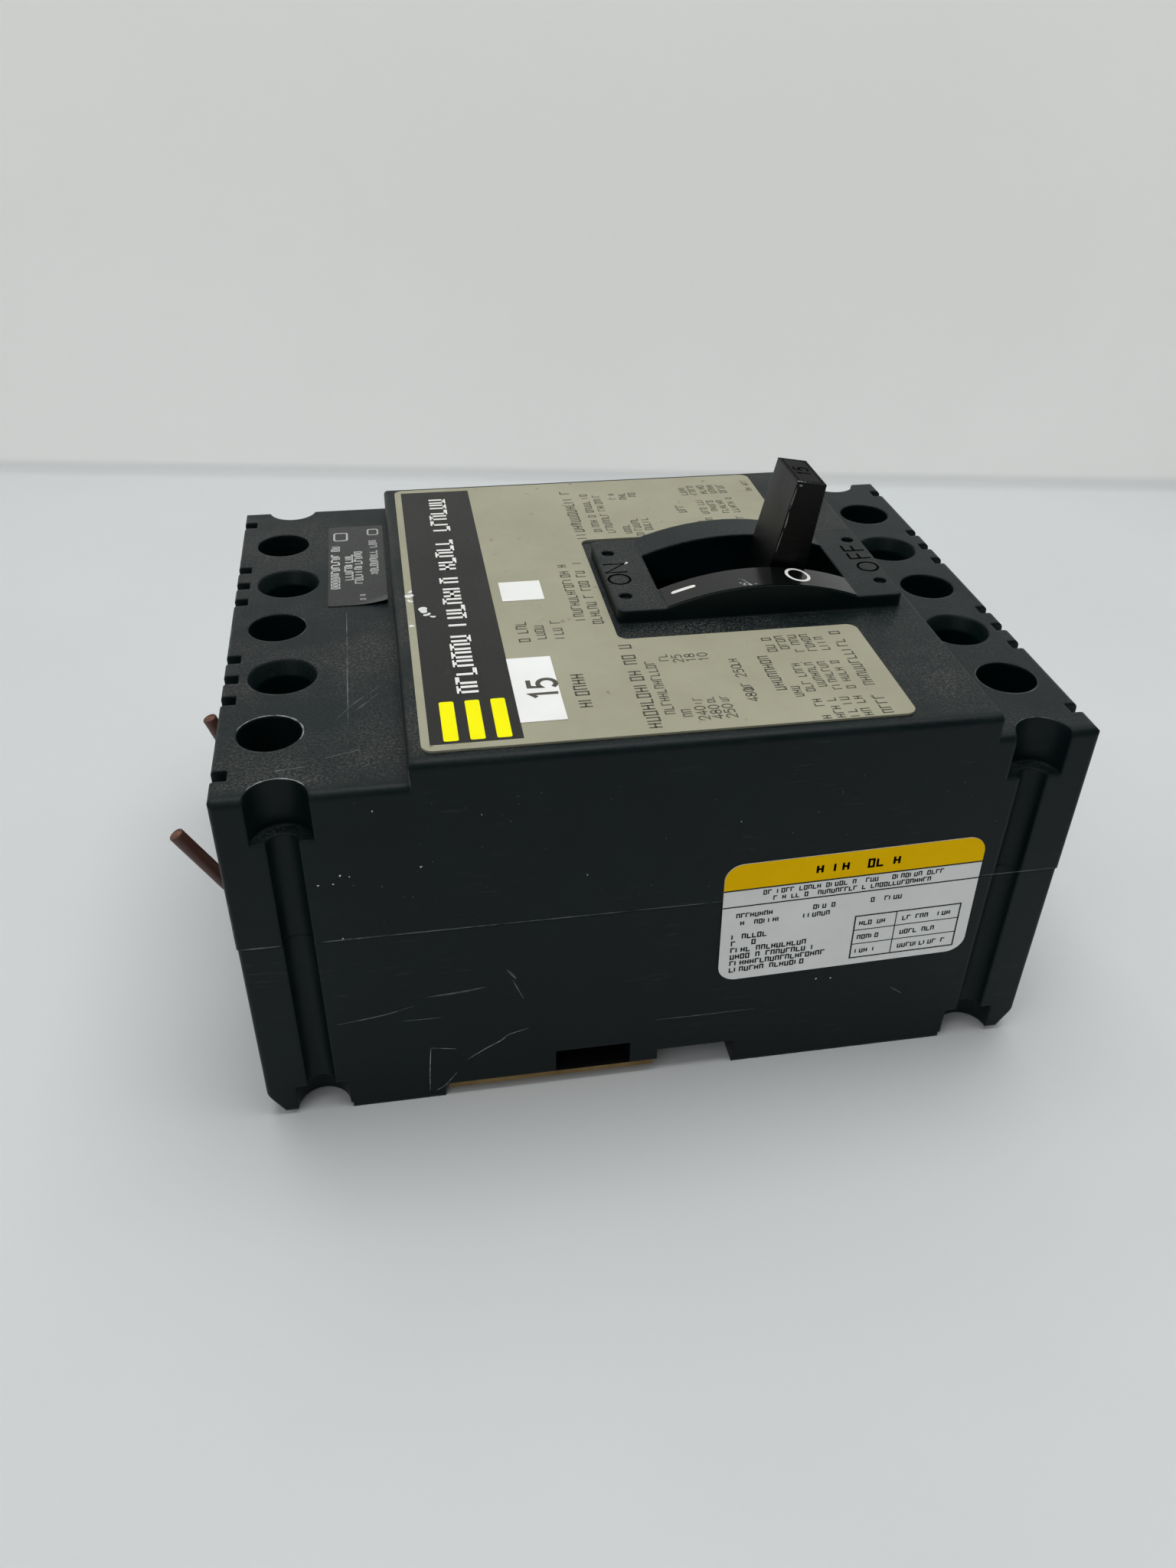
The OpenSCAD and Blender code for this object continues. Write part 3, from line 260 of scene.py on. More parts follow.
def bumped(net, shader, height, deep, round_mm=0.0):
    """Feeds a height to the Normal, over edges that look rounded by a small radius."""
    ins = {"Height": height, "Distance": deep * MM, "Strength": 1.0}
    if round_mm:
        ins["Normal"] = net.node("ShaderNodeBevel", {"Radius": round_mm * MM}, samples=4).outputs[0]
    net.put(shader.inputs["Normal"], net.node("ShaderNodeBump", ins).outputs[0])


def middle_half(low, high):
    """A box in millimetres as its centre and half its size, in metres."""
    low, high = np.array(low) * MM, np.array(high) * MM
    return tuple((low + high) / 2), tuple((high - low) / 2)


# From where to where, in metres from the middle, the case's sides and its load end turn clean
SIDE_WIPE, LOAD_WIPE = (0.0535, 0.0558), (0.056, 0.060)


def moulded(name, dark, pale, worn, dust, rough, spec, dusty, boxes=(), round_mm=0.3,
            grain_mm=0.012, sleek_mm=1000.0, dull_top=0.0):
    """Moulded thermoset: mottled colour, grain that is deepest on faces that look up, hairlines,
    rubbed edges and settled dust. Above a height the skin is sleeker and holds less dust, and the
    edges along the case's sides and the load end are wiped."""
    material, net, shader, at = new_finish(name)
    along, across, high = net.parts(at)
    coarse = net.span(high, (sleek_mm - 0.5) * MM, sleek_mm * MM, 1.0, 0.3)
    wiped = net.product(net.span(net.math("ABSOLUTE", across), *SIDE_WIPE, 1.0, 0.15),
                        net.span(along, *LOAD_WIPE, 1.0, 0.45))
    skin = net.shared(grain_group, vector=at, grain_scale=1700.0, mottle_scale=70.0)
    rub = net.shared(rub_group, vector=at, stretch=(0.12, 1.0, 1.0), scale=1500.0, amount=0.16)[0]
    colour = net.blend(skin[1], dark, pale)
    colour = net.blend(rub, colour, worn)
    for box, gate, width in boxes:
        centre, half = middle_half(*box)
        gate_centre, gate_half = middle_half(*gate)
        edge = net.shared(edge_group, vector=at, centre=centre, half=half, gate_centre=gate_centre,
                          gate_half=gate_half, width=width * MM, break_scale=260.0)[0]
        colour = net.blend(net.product(edge, 0.7), colour, worn)
    amount = net.product(coarse, wiped, dusty)
    film = net.shared(dust_group, vector=at, scale=2100.0, amount=amount)[0]
    net.put(shader.inputs["Base Color"], net.blend(film, colour, dust))
    base = net.math("SUBTRACT", net.span(skin[1], 0.0, 1.0, rough - 0.05, rough + 0.07),
                    net.span(coarse, 0.3, 1.0, 0.1, 0.0))
    base = net.math("ADD", base, net.looking_up(0.8, 0.96, 0.0, dull_top))
    net.put(shader.inputs["Roughness"], net.math("ADD", base, net.product(film, 0.5), clamp=True))
    shader.inputs["Specular IOR Level"].default_value = spec
    tooth = net.product(skin[0], coarse, net.looking_up(0.3, 0.9, 0.3, 1.0))
    bumped(net, shader, tooth, grain_mm, round_mm=round_mm)
    return material


def metal(name, bright, dull, rough, stretch=(1.0, 1.0, 0.08)):
    """Plated or bare metal: dull clouds over a bright ground, with a fine drawn grain."""
    material, net, shader, at = new_finish(name)
    skin = net.shared(grain_group, vector=net.vector("MULTIPLY", at, stretch), grain_scale=2400.0,
                      mottle_scale=160.0)
    net.put(shader.inputs["Base Color"], net.blend(skin[1], bright, dull))
    net.put(shader.inputs["Roughness"], net.span(skin[1], 0.0, 1.0, rough, rough + 0.2))
    shader.inputs["Metallic"].default_value = 1.0
    bumped(net, shader, skin[0], 0.006, round_mm=0.12)
    return material


def coated(name, ground, cloud, rough, grain_scale=1800.0, spec=0.4, spots=None, clouds=55.0):
    """Printed or coated sheet: a ground colour with clouds, a fine tooth and dark specks."""
    material, net, shader, at = new_finish(name)
    skin = net.shared(grain_group, vector=at, grain_scale=grain_scale, mottle_scale=clouds)
    colour = net.blend(skin[1], ground, cloud)
    if spots:
        speck = net.span(net.noise(at, 420.0, 2.0), 0.70, 0.76)
        colour = net.blend(net.product(speck, 0.6), colour, spots)
    net.put(shader.inputs["Base Color"], colour)
    net.put(shader.inputs["Roughness"], net.span(skin[0], 0.3, 0.7, rough - 0.06, rough + 0.06))
    shader.inputs["Specular IOR Level"].default_value = spec
    bumped(net, shader, skin[0], 0.004)
    return material


def fibre(name, ground, cloud, strand):
    """Pressed fibre sheet: brown clouds crossed by short strands drawn out along the sheet, and
    painted shade on its upper face, which lies in the dark inside the case."""
    material, net, shader, at = new_finish(name)
    skin = net.shared(grain_group, vector=at, grain_scale=900.0, mottle_scale=120.0)
    strands = net.shared(rub_group, vector=at, stretch=(0.15, 1.0, 1.0), scale=700.0, amount=1.0)[0]
    colour = net.blend(strands, net.blend(skin[1], ground, cloud), strand)
    # Painted shade: faces that look up are blended to near black, for the dark inside the case.
    net.put(shader.inputs["Base Color"], net.blend(net.looking_up(0.4, 0.8), colour, ink(9, 8, 7)))
    net.put(shader.inputs["Roughness"], net.span(skin[1], 0.0, 1.0, 0.72, 0.88))
    shader.inputs["Specular IOR Level"].default_value = 0.15
    bumped(net, shader, skin[0], 0.05)
    return material


# Rubbed edges of the case: a box, the gate in which its edges show, and their width
FAR = 90.0
base_w = half_w - base_inset
deck_box = ((deck_x0, -half_w, 0.0), (deck_x1, half_w, deck_z))
cover_box = ((-half_l, -half_w, seam_z), (half_l, half_w, shelf_z))
base_box = ((-half_l, -base_w, 0.0), (half_l, base_w, FAR))
case_boxes = [
    (deck_box, ((-FAR, -FAR, shelf_z + 0.1), (FAR, FAR, FAR)), 0.4),
    (cover_box, ((-FAR, -FAR, seam_z + 0.6), (deck_x0, FAR, FAR)), 0.55),
    (cover_box, ((deck_x1, -FAR, seam_z + 0.6), (FAR, FAR, FAR)), 0.5),
    (base_box, ((-FAR, -FAR, -1.0), (FAR, FAR, seam_z - 0.3)), 0.45),
]
worn_grey, dust_grey = ink(88, 92, 92), ink(124, 120, 116)
finishes = {
    "case_plastic": moulded("black_thermoset", ink(4, 17, 18), ink(9, 23, 24), worn_grey, dust_grey,
                            0.40, 0.17, 0.46, case_boxes, round_mm=0.8, grain_mm=0.03, sleek_mm=83.0),
    "handle_plastic": moulded("handle_thermoset", ink(4, 5, 5), ink(8, 9, 9), worn_grey, dust_grey,
                              0.34, 0.26, 0.05, round_mm=0.5, dull_top=0.4),
    "insulation": moulded("brown_thermoset", ink(82, 58, 38), ink(64, 44, 30), ink(120, 96, 70),
                          dust_grey, 0.5, 0.4, 0.1),
    "steel": metal("zinc_plated_steel", ink(196, 197, 192), ink(150, 150, 140), 0.3),
    "copper": metal("bare_copper", ink(205, 134, 92), ink(142, 84, 56), 0.3),
    "bimetal": metal("rolled_bimetal", ink(190, 178, 140), ink(150, 138, 104), 0.34),
    "aluminium": metal("tin_plated_lug", ink(206, 208, 208), ink(168, 170, 168), 0.36),
    "chute": coated("chute_sheet", ink(120, 116, 106), ink(96, 92, 84), 0.6),
    "fibre": fibre("vulcanised_fibre", ink(142, 121, 81), ink(112, 92, 59), ink(176, 154, 114)),
    "plate": coated("cream_plate", ink(165, 163, 142), ink(156, 154, 133), 0.5, spec=0.08,
                    spots=ink(114, 110, 93)),
    "paper": coated("label_paper", ink(243, 244, 242), ink(234, 235, 231), 0.5, grain_scale=3200.0),
    "foil": coated("dark_foil", ink(18, 19, 19), ink(27, 28, 28), 0.3, spec=0.42),
    "wire": coated("wire_jacket", ink(92, 60, 51), ink(74, 48, 41), 0.4, grain_scale=1200.0, spec=0.4),
}
white_ink = coated("white_ink", ink(238, 238, 234), ink(226, 226, 220), 0.5, spec=0.3)
black_ink = coated("black_ink", ink(19, 19, 16), ink(27, 27, 24), 0.42, spec=0.28,
                   spots=ink(50, 50, 46))
grey_ink = coated("grey_ink", ink(64, 63, 54), ink(82, 80, 68), 0.5, spec=0.3)
label_ink = coated("label_ink", ink(20, 22, 20), ink(32, 34, 31), 0.5, spec=0.2)
yellow_ink = coated("yellow_ink", ink(254, 249, 6), ink(249, 242, 4), 0.5, spec=0.06)
amber_ink = coated("amber_ink", ink(255, 206, 0), ink(252, 198, 0), 0.55, spec=0.03,
                   spots=ink(214, 164, 4))
# Pale scuff finishes: real scratches and rubs, and also painted highlights on hole rims and along the seam
pale_scuff_and_highlight = coated("pale_scuff_and_highlight", ink(112, 118, 118), ink(48, 54, 54), 0.7, spec=0.2, clouds=420.0)
bright_chip = coated("bright_chip", ink(236, 238, 236), ink(206, 208, 206), 0.6, spec=0.3)
rim_scuff_and_highlight = coated("rim_scuff_and_highlight", ink(168, 172, 170), ink(52, 56, 56), 0.7, spec=0.2, clouds=520.0)
# Near black that stands for the shade inside engraved and moulded lettering: painted shade
relief_shade = coated("engraving_painted_shade", ink(3, 3, 3), ink(6, 6, 6), 0.9, spec=0.02)
foil_ink = coated("foil_ink", ink(206, 207, 203), ink(160, 162, 158), 0.45, spec=0.3)
cut_copper = metal("cut_copper", ink(158, 108, 86), ink(116, 78, 60), 0.4)
own_finish = {"rail_decal": coated("decal_film", ink(7, 8, 8), ink(11, 12, 12), 0.2, spec=0.32)}

for row in frame["record"]["subparts"]:
    node = nodes[row["node"]]
    finish = own_finish.get(row["node"], finishes[row["material_slot"]])
    if node.material_slots:
        for holder in node.material_slots:
            holder.material = finish
    else:
        node.data.materials.append(finish)


# ------------------------------------------------------------------ surfaces and strips
# How far print stands out of a face and reaches into it; thin marks stand out less
LIFT, SINK = 0.025, 0.02
THIN_LIFT, THIN_SINK = 0.015, 0.01
HAIR_LIFT = 0.012


def add_piece(name, parts, body, finish):
    """One mesh from several (points, faces) parts in metres, riding on a body."""
    points, faces, base = [], [], 0
    for some_points, some_faces in parts:
        points.append(some_points)
        faces += [[base + i for i in face] for face in some_faces]
        base += len(some_points)
    mesh = bpy.data.meshes.new(name)
    mesh.from_pydata(np.concatenate(points).tolist(), [], faces)
    mesh.update()
    mesh.materials.append(finish)
    piece = bpy.data.objects.new(name, mesh)
    bpy.context.scene.collection.objects.link(piece)
    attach(piece, body)
    return piece


def flat_place(origin, across, up):
    """Lays (u, v, h) on a plane: u along across, v along up, and h along their cross product."""
    origin, across, up = (np.asarray(a, float) for a in (origin, across, up))
    out = np.cross(across, up)
    return lambda u, v, h: (origin + np.outer(u, across) + np.outer(v, up) + h * out) * MM


def deck_place(height):
    """Print on a level face reads along +Y with its head towards the line end, so v is minus X."""
    return flat_place((0, 0, height), (0, 1, 0), (-1, 0, 0))


def arch_place(centre_x, centre_z, radius):
    """The same reading direction on a cylinder along Y: each point is pushed out along its radius."""
    def place(u, v, h):
        off = -np.asarray(v, float) - centre_x
        rise = np.sqrt(radius ** 2 - off ** 2)
        grow = (radius + h) / radius
        return np.stack([centre_x + off * grow, np.asarray(u, float), centre_z + rise * grow], 1) * MM
    return place


def strip(path, width, place, closed=False, lift=LIFT, sink=SINK):
    """A flat strip: each path point steps half a width to both sides along the mitre of its two
    legs, on a top and a bottom sheet, which makes four corner lines; ends are capped."""
    path = np.asarray(path, float)
    legs = np.diff(np.vstack([path, path[:1]]) if closed else path, axis=0)
    legs /= np.linalg.norm(legs, axis=1, keepdims=True)
    left = np.stack([-legs[:, 1], legs[:, 0]], 1)
    before = np.roll(left, 1, 0) if closed else np.vstack([left[:1], left])
    after = left if closed else np.vstack([left, left[-1:]])
    mitre = (before + after) / (1 + (before * after).sum(1)).clip(0.4)[:, None]
    half = mitre * np.broadcast_to(np.asarray(width, float) / 2, len(path))[:, None]
    a, b = (path + half).T, (path - half).T
    points = np.stack([place(*a, lift), place(*b, lift), place(*b, -sink), place(*a, -sink)], 1)
    n = len(path)
    i = np.arange(n if closed else n - 1)[:, None]
    j, k = (i + 1) % n, np.arange(4)
    k1 = (k + 1) % 4
    faces = np.stack([4 * i + k, 4 * i + k1, 4 * j + k1, 4 * j + k], -1).reshape(-1, 4).tolist()
    if not closed:
        faces += [[3, 2, 1, 0], [4 * n - 4, 4 * n - 3, 4 * n - 2, 4 * n - 1]]
    return points.reshape(-1, 3), faces


def prism(outline, place, lift=LIFT, sink=SINK):
    """A flat plate: a counter-clockwise outline on a top and a bottom sheet, with walls between."""
    outline = np.asarray(outline, float)
    n = len(outline)
    points = np.vstack([place(*outline.T, lift), place(*outline.T, -sink)])
    i = np.arange(n)
    j = (i + 1) % n
    walls = np.stack([n + i, n + j, j, i], 1).tolist()
    return points, walls + [list(range(n)), list(range(2 * n - 1, n - 1, -1))]


def oval(cu, cv, ru, rv, start=0.0, stop=360.0, count=28):
    """Points of an ellipse from one angle to another; a full turn leaves out its last point."""
    full = abs(stop - start) >= 360
    turn = np.radians(np.linspace(start, stop, count, endpoint=not full))
    return np.stack([cu + ru * np.cos(turn), cv + rv * np.sin(turn)], 1)


def box_outline(u0, u1, v0, v1, r=0.0, count=7):
    """A rectangle, counter-clockwise, with quarter circles for corners where r isn't 0."""
    if not r:
        return np.array([(u0, v0), (u1, v0), (u1, v1), (u0, v1)])
    corners = [(u1 - r, v0 + r, -90), (u1 - r, v1 - r, 0), (u0 + r, v1 - r, 90),
               (u0 + r, v0 + r, 180)]
    return np.vstack([oval(cu, cv, r, r, a, a + 90, count) for cu, cv, a in corners])


def blob(cu, cv, size, draw, count=16):
    """A chip's outline: a circle whose radius waves with two and three lobes drawn at random."""
    turn = np.linspace(0, 2 * np.pi, count, endpoint=False)
    two, three, lean = draw.uniform(0.1, 0.45), draw.uniform(0.05, 0.25), draw.uniform(0, 6.28, 2)
    r = size * (1 + two * np.cos(2 * turn + lean[0]) + three * np.cos(3 * turn + lean[1]))
    return np.stack([cu + r * np.cos(turn), cv + r * np.sin(turn)], 1)


# ------------------------------------------------------------------ cut wires in the line lugs
wire_d = 2.8
wire_mouth = lug_low[0]
wire_z = 39.63
wire_core_r = 0.95
wire_chamfer, wire_recess = 0.12, 0.6
# Steps of the centre line out of the lug's mouth and up from its height there, from inside the
# bore to the cut end; both wires start the same
wire_start = [(-9, 0), (-6, 0), (-3, 0), (0, 0), (1.2, 0.07), (2.4, 0.37), (3.6, 0.87),
              (4.7, 1.57), (5.7, 2.47)]
wire_steps = {
    "a": wire_start + [(6.6, 3.47), (7.4, 4.67), (8.6, 6.77), (10, 9.17), (11.4, 11.57),
                       (12.8, 13.97), (14, 16.07)],
    "b": wire_start + [(6.5, 3.47), (7.2, 4.57), (7.8, 5.97), (8.6, 8.37), (9.4, 10.87),
                       (10.3, 13.57), (11.2, 16.17)],
}


def smooth_line(route, parts=4):
    """A Catmull-Rom curve through the route: each span is a cubic set by its four nearest points."""
    ends = np.vstack([2 * route[0] - route[1], route, 2 * route[-1] - route[-2]])
    p0, p1, p2, p3 = (ends[k:len(ends) - 3 + k, None] for k in range(4))
    t = np.linspace(0, 1, parts, endpoint=False)[None, :, None]
    curve = 0.5 * (2 * p1 + (p2 - p0) * t + (2 * p0 - 5 * p1 + 4 * p2 - p3) * t ** 2
                   + (3 * p1 - p0 - 3 * p2 + p3) * t ** 3)
    return np.vstack([curve.reshape(-1, 3), route[-1:]])


def swept(line, rings, sides=20):
    """A round profile carried along a line in the XZ plane: each ring is (line index, radius,
    step along the line), its circle spanned by Y and the line's normal; both ends are capped."""
    along = np.gradient(line, axis=0)
    along /= np.linalg.norm(along, axis=1, keepdims=True)
    index = np.array([r[0] for r in rings])
    radius, step = np.array([r[1] for r in rings]), np.array([r[2] for r in rings])
    across = np.array([0.0, 1.0, 0.0])
    normal = np.cross(along[index], across)
    turn = np.linspace(0, 2 * np.pi, sides, endpoint=False)
    circle = np.cos(turn)[None, :, None] * across + np.sin(turn)[None, :, None] * normal[:, None]
    middle = line[index] + along[index] * step[:, None]
    points = (middle[:, None] + radius[:, None, None] * circle) * MM
    i, k = np.arange(len(rings) - 1)[:, None] * sides, np.arange(sides)
    k1 = (k + 1) % sides
    faces = np.stack([i + k, i + sides + k, i + sides + k1, i + k1], -1).reshape(-1, 4).tolist()
    last = (len(rings) - 1) * sides
    caps = [list(range(sides)), list(range(last + sides - 1, last - 1, -1))]
    return points.reshape(-1, 3), faces + caps


def cut_wire(pole):
    """A jacketed wire cut off square: the jacket ends in a rim round a copper core."""
    low, high = node_box(f"wire_stub_{pole}")
    steps = np.array(wire_steps[pole], float)
    route = np.stack([wire_mouth - steps[:, 0], np.full(len(steps), (low[1] + high[1]) / 2),
                      wire_z + steps[:, 1]], 1)
    line = smooth_line(route)
    end, r = len(line) - 1, wire_d / 2
    body = [(i, r, 0.0) for i in range(end)]
    rim = [(end, r, -wire_chamfer), (end, r - wire_chamfer, 0.0), (end, wire_core_r, 0.0),
           (end, wire_core_r, -wire_recess)]
    jacket = add_piece(f"wire_jacket_{pole}", [swept(line, body + rim)], "case", finishes["wire"])
    core_r = wire_core_r - 0.02
    core = [(end, core_r, -0.9), (end, core_r, -0.08), (end, wire_core_r - 0.2, 0.02)]
    copper = add_piece(f"wire_core_{pole}", [swept(line, core)], "case", cut_copper)
    for piece in (jacket, copper):
        piece.data.shade_smooth()
    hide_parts(f"wire_stub_{pole}")


cut_wire("a")
cut_wire("b")

# ------------------------------------------------------------------ print
# Strokes of a letter one unit high: points, and whether they close
GLYPHS = {
    "0": [(oval(0.32, 0.5, 0.32, 0.5), True)],
    "O": [(oval(0.5, 0.5, 0.5, 0.5), True)],
    "1": [([(0.12, 0.8), (0.34, 1), (0.34, 0)], False)],
    "2": [(np.vstack([oval(0.3, 0.7, 0.3, 0.3, 170, -35, 14), [(0.0, 0.0), (0.62, 0.0)]]), False)],
    "4": [([(0.46, 0), (0.46, 1), (0.0, 0.3), (0.66, 0.3)], False)],
    "5": [(np.vstack([[(0.58, 1), (0.1, 1), (0.06, 0.56)],
                      oval(0.28, 0.33, 0.32, 0.33, 118, -140, 16)]), False)],
    "8": [(oval(0.31, 0.75, 0.25, 0.25), True), (oval(0.31, 0.25, 0.31, 0.25), True)],
    "F": [([(0.0, 0), (0.0, 1), (0.6, 1)], False), ([(0.0, 0.52), (0.5, 0.52)], False)],
    "N": [([(0.0, 0), (0.0, 1), (0.86, 0), (0.86, 1)], False)],
}


def letters(text, u, v, height, stroke, place, pitch=0.86):
    """Stroke letters set along u from their left foot, each drawn as strips."""
    parts = []
    for index, mark in enumerate(text):
        shift = np.array([u + index * pitch * height, v])
        parts += [strip(np.asarray(path, float) * height + shift, stroke, place, closed)
                  for path, closed in GLYPHS[mark]]
    return parts


STROKES = {"L": ((0, 0), (0, 1)), "R": ((1, 0), (1, 1)), "T": ((0, 1), (1, 1)),
           "M": ((0, 0.5), (1, 0.5)), "B": ((0, 0), (1, 0))}
SHAPES = ["LRT", "LRB", "LRM", "LRTB", "L", "LT", "LB"]


def print_row(u0, u1, v, height, stroke, place, draw, gap=0.14):
    """A row of print that can't be read: box shapes a pitch apart, each made of a few of a box's
    strokes drawn at random, with some left out as gaps between words. Level strokes reach half a
    stroke further at both ends, so corners close."""
    wide, pitch = 0.42 * height, 0.74 * height
    parts = []
    for u in np.arange(u0, u1 - wide, pitch):
        shape = "" if draw.random() < gap else SHAPES[draw.integers(len(SHAPES))]
        for one in shape:
            ends = np.array(STROKES[one], float) * (wide, height - stroke) + (u, v + stroke / 2)
            reach = 0.0 if one in "LR" else stroke / 2
            parts.append(strip(ends + ((-reach, 0), (reach, 0)), stroke, place))
    return parts


draw = np.random.default_rng(5)


def print_block(rows, weight, place):
    """Rows of print on a level face, given as the foot's X, the first and last Y and the letter
    height; weight is the stroke's share of the height."""
    return [part for foot, first, last, height in rows
            for part in print_row(first, last, -foot, height, weight * height, place, draw)]


plate_top = deck_place(plate_high[2])

# Black band along the line edge of the plate, with its row of print and a plain bar mark
band_x0, band_x1, band_half = -40.6, -25.2, 52.7
band_top = deck_place(plate_high[2] + LIFT)
add_piece("plate_band", [prism(box_outline(-band_half, band_half, -band_x1, -band_x0), plate_top)],
          "case", black_ink)
title_spans = [(-37.0, -15.0), (-12.6, 9.4), (11.8, 28.6), (31.0, 50.0)]
title_foot, title_h, title_stroke = 30.8, 4.1, 0.74
title = []
for first, last in title_spans:
    title += print_row(first, last, title_foot, title_h, title_stroke, band_top, draw, 0.0)
add_piece("band_print", title, "case", white_ink)
mark_u0, mark_u1, mark_h, mark_r = -52.0, -39.8, 2.5, 0.4
marks = [prism(box_outline(mark_u0, mark_u1, v, v + mark_h, mark_r), band_top)
         for v in (27.0, 31.4, 35.8)]
add_piece("band_bars", marks, "case", yellow_ink)

# Print on the plate, and the numbers among it
plate_rows = [
    (-12.2, -44.6, -32.2, 2.6), (-19.9, -20.6, -12.7, 2.2), (-16.8, -20.0, -14.6, 1.9),
    (-13.4, -20.2, -13.2, 2.0), (-8.4, -13.7, 10.5, 2.1), (-5.2, -15.5, 12.3, 2.1),
    (-1.8, -52.6, -24.4, 2.6), (1.2, -48.8, -28.4, 1.9), (4.0, -50.0, -45.4, 1.8),
    (4.0, -31.1, -28.0, 1.8),
    (6.4, -46.2, -44.2, 1.4), (8.8, -46.2, -44.2, 1.4), (11.2, -46.2, -44.2, 1.4),
    (16.4, -43.0, -39.6, 1.8), (16.4, -34.4, -30.2, 1.8),
    (22.3, -45.4, -32.0, 2.1), (24.7, -46.4, -42.5, 1.7), (24.7, -30.5, -24.6, 1.9),
    (27.2, -53.9, -47.0, 1.8), (27.2, -45.0, -34.4, 1.7), (27.2, -31.2, -24.2, 1.8),
    (29.7, -53.9, -47.6, 1.8), (29.7, -45.0, -34.4, 1.7), (29.7, -31.2, -24.2, 1.8),
    (32.1, -53.9, -47.0, 1.8), (32.1, -45.0, -35.0, 1.7), (32.1, -31.2, -24.2, 1.8),
    (34.6, -53.9, -47.6, 1.8), (34.6, -45.0, -35.0, 1.7), (34.6, -31.2, -24.2, 1.8),
    (38.4, -53.6, -24.0, 2.1),
    (-1.8, 23.0, 49.6, 2.4), (2.0, 26.0, 47.0, 1.8), (4.8, 25.2, 47.4, 1.8),
    (8.4, 24.4, 30.0, 1.6), (8.4, 43.4, 47.4, 1.6),
    (10.9, 23.0, 33.0, 1.8), (10.9, 43.0, 47.6, 1.8), (13.3, 23.0, 33.0, 1.8), (13.3, 43.0, 47.6, 1.8),
    (22.9, 34.0, 38.2, 2.0), (25.6, 28.0, 29.8, 1.6), (25.6, 43.8, 49.6, 1.8),
    (27.9, 28.0, 31.0, 1.8), (27.9, 32.6, 41.2, 1.7), (27.9, 44.0, 50.0, 1.8),
    (30.3, 28.0, 31.0, 1.8), (30.3, 32.6, 41.0, 1.7), (30.3, 44.0, 50.0, 1.8),
    (32.6, 28.0, 31.0, 1.8), (32.6, 32.6, 40.6, 1.7), (32.6, 44.0, 50.0, 1.8),
    (35.0, 28.0, 31.0, 1.8), (35.0, 32.6, 41.2, 1.7), (35.0, 44.0, 50.0, 1.8),
    (41.3, 44.4, 51.0, 1.5),
]
rows = print_block(plate_rows, 0.13, plate_top)
number_h, number_stroke = 1.8, 0.25
plain_numbers = [("240", 6.5, -51.4), ("480", 8.9, -51.4), ("250", 11.3, -51.4), ("25", 6.5, -32.0),
                 ("18", 8.9, -32.0), ("10", 11.3, -32.0), ("480", 16.4, -46.8), ("250", 16.4, -38.6)]
for text, foot, first in plain_numbers:
    rows += letters(text, first, -foot, number_h, number_stroke, plate_top)
add_piece("plate_print", rows, "case", grey_ink)
sticker_top = deck_place(sticker_high[2])
add_piece("sticker_number", letters("15", -41.2, 17.6, 4.8, 0.85, sticker_top, 0.74), "case",
          grey_ink)

# ON and OFF on the escutcheon, near black as painted shade inside their engraving: text, first Y, foot's X and
# letter height
esc_top = deck_place(esc_z)
switch_words = [("O", -4.5, 2.4, 4.3), ("N", 0.8, 2.5, 4.4), ("O", -5.3, 53.8, 4.1),
                ("FF", 0.7, 53.8, 4.3)]
switch_letters = []
for text, first, foot, height in switch_words:
    switch_letters += letters(text, first, -foot, height, 0.5, esc_top, 0.88)
add_piece("on_off_letters", switch_letters, "case", relief_shade)

# I and O on the decal's arch. The I narrows as a circle does near both ends.
arch_r = 54.56
arch_x = (decal_low[0] + decal_high[0]) / 2
arch_top = arch_place(arch_x, decal_high[2] - arch_r, arch_r)
bar_u, bar_wide, bar_points = -11.3, 0.95, 33
bar_v = np.linspace(-13.4, -8.7, bar_points)
bar_end = np.clip(np.abs(bar_v - bar_v.mean()) / 0.5 - 3.7, 0, 0.98)
bar = np.stack([np.full(bar_points, bar_u), bar_v], 1)
ring = oval(-11.2, -33.9, 2.55, 2.2, count=40)
add_piece("switch_marks", [strip(bar, bar_wide * np.sqrt(1 - bar_end ** 2), arch_top),
                           strip(ring, 0.62, arch_top, True)], "case", white_ink)

# Side label: amber head, ruled lines and rows of small print
tilt = np.radians(1.6)
label_mid = (label_low + label_high) / 2
label_face = flat_place((label_mid[0], label_low[1], label_mid[2]),
                        (np.cos(tilt), 0, np.sin(tilt)), (-np.sin(tilt), 0, np.cos(tilt)))
label_w, label_h, label_r = 49.6, 28.6, 3.6
edge_u, head_foot, rule_v = label_w / 2, 8.3, 4.3
corner_u, corner_v = edge_u - label_r, label_h / 2 - label_r
head = np.vstack([[(-edge_u, head_foot), (edge_u, head_foot)],
                  oval(corner_u, corner_v, label_r, label_r, 0, 90, 9),
                  oval(-corner_u, corner_v, label_r, label_r, 90, 180, 9)])
add_piece("label_head", [prism(head, label_face)], "case", amber_ink)
table_u, table_v = (1.4, 22.4), (-12.6, -1.8)
table_rows, table_column = (-5.4, -9.0), 9.6
lines = [strip([(-edge_u, head_foot), (edge_u, head_foot)], 0.32, label_face, lift=0.04),
         strip([(-edge_u, rule_v), (edge_u, rule_v)], 0.28, label_face),
         strip(box_outline(*table_u, *table_v), 0.3, label_face, True)]
lines += [strip([(u, v) for u in table_u], 0.2, label_face) for v in table_rows]
lines += [strip([(table_column, v) for v in table_v], 0.2, label_face)]
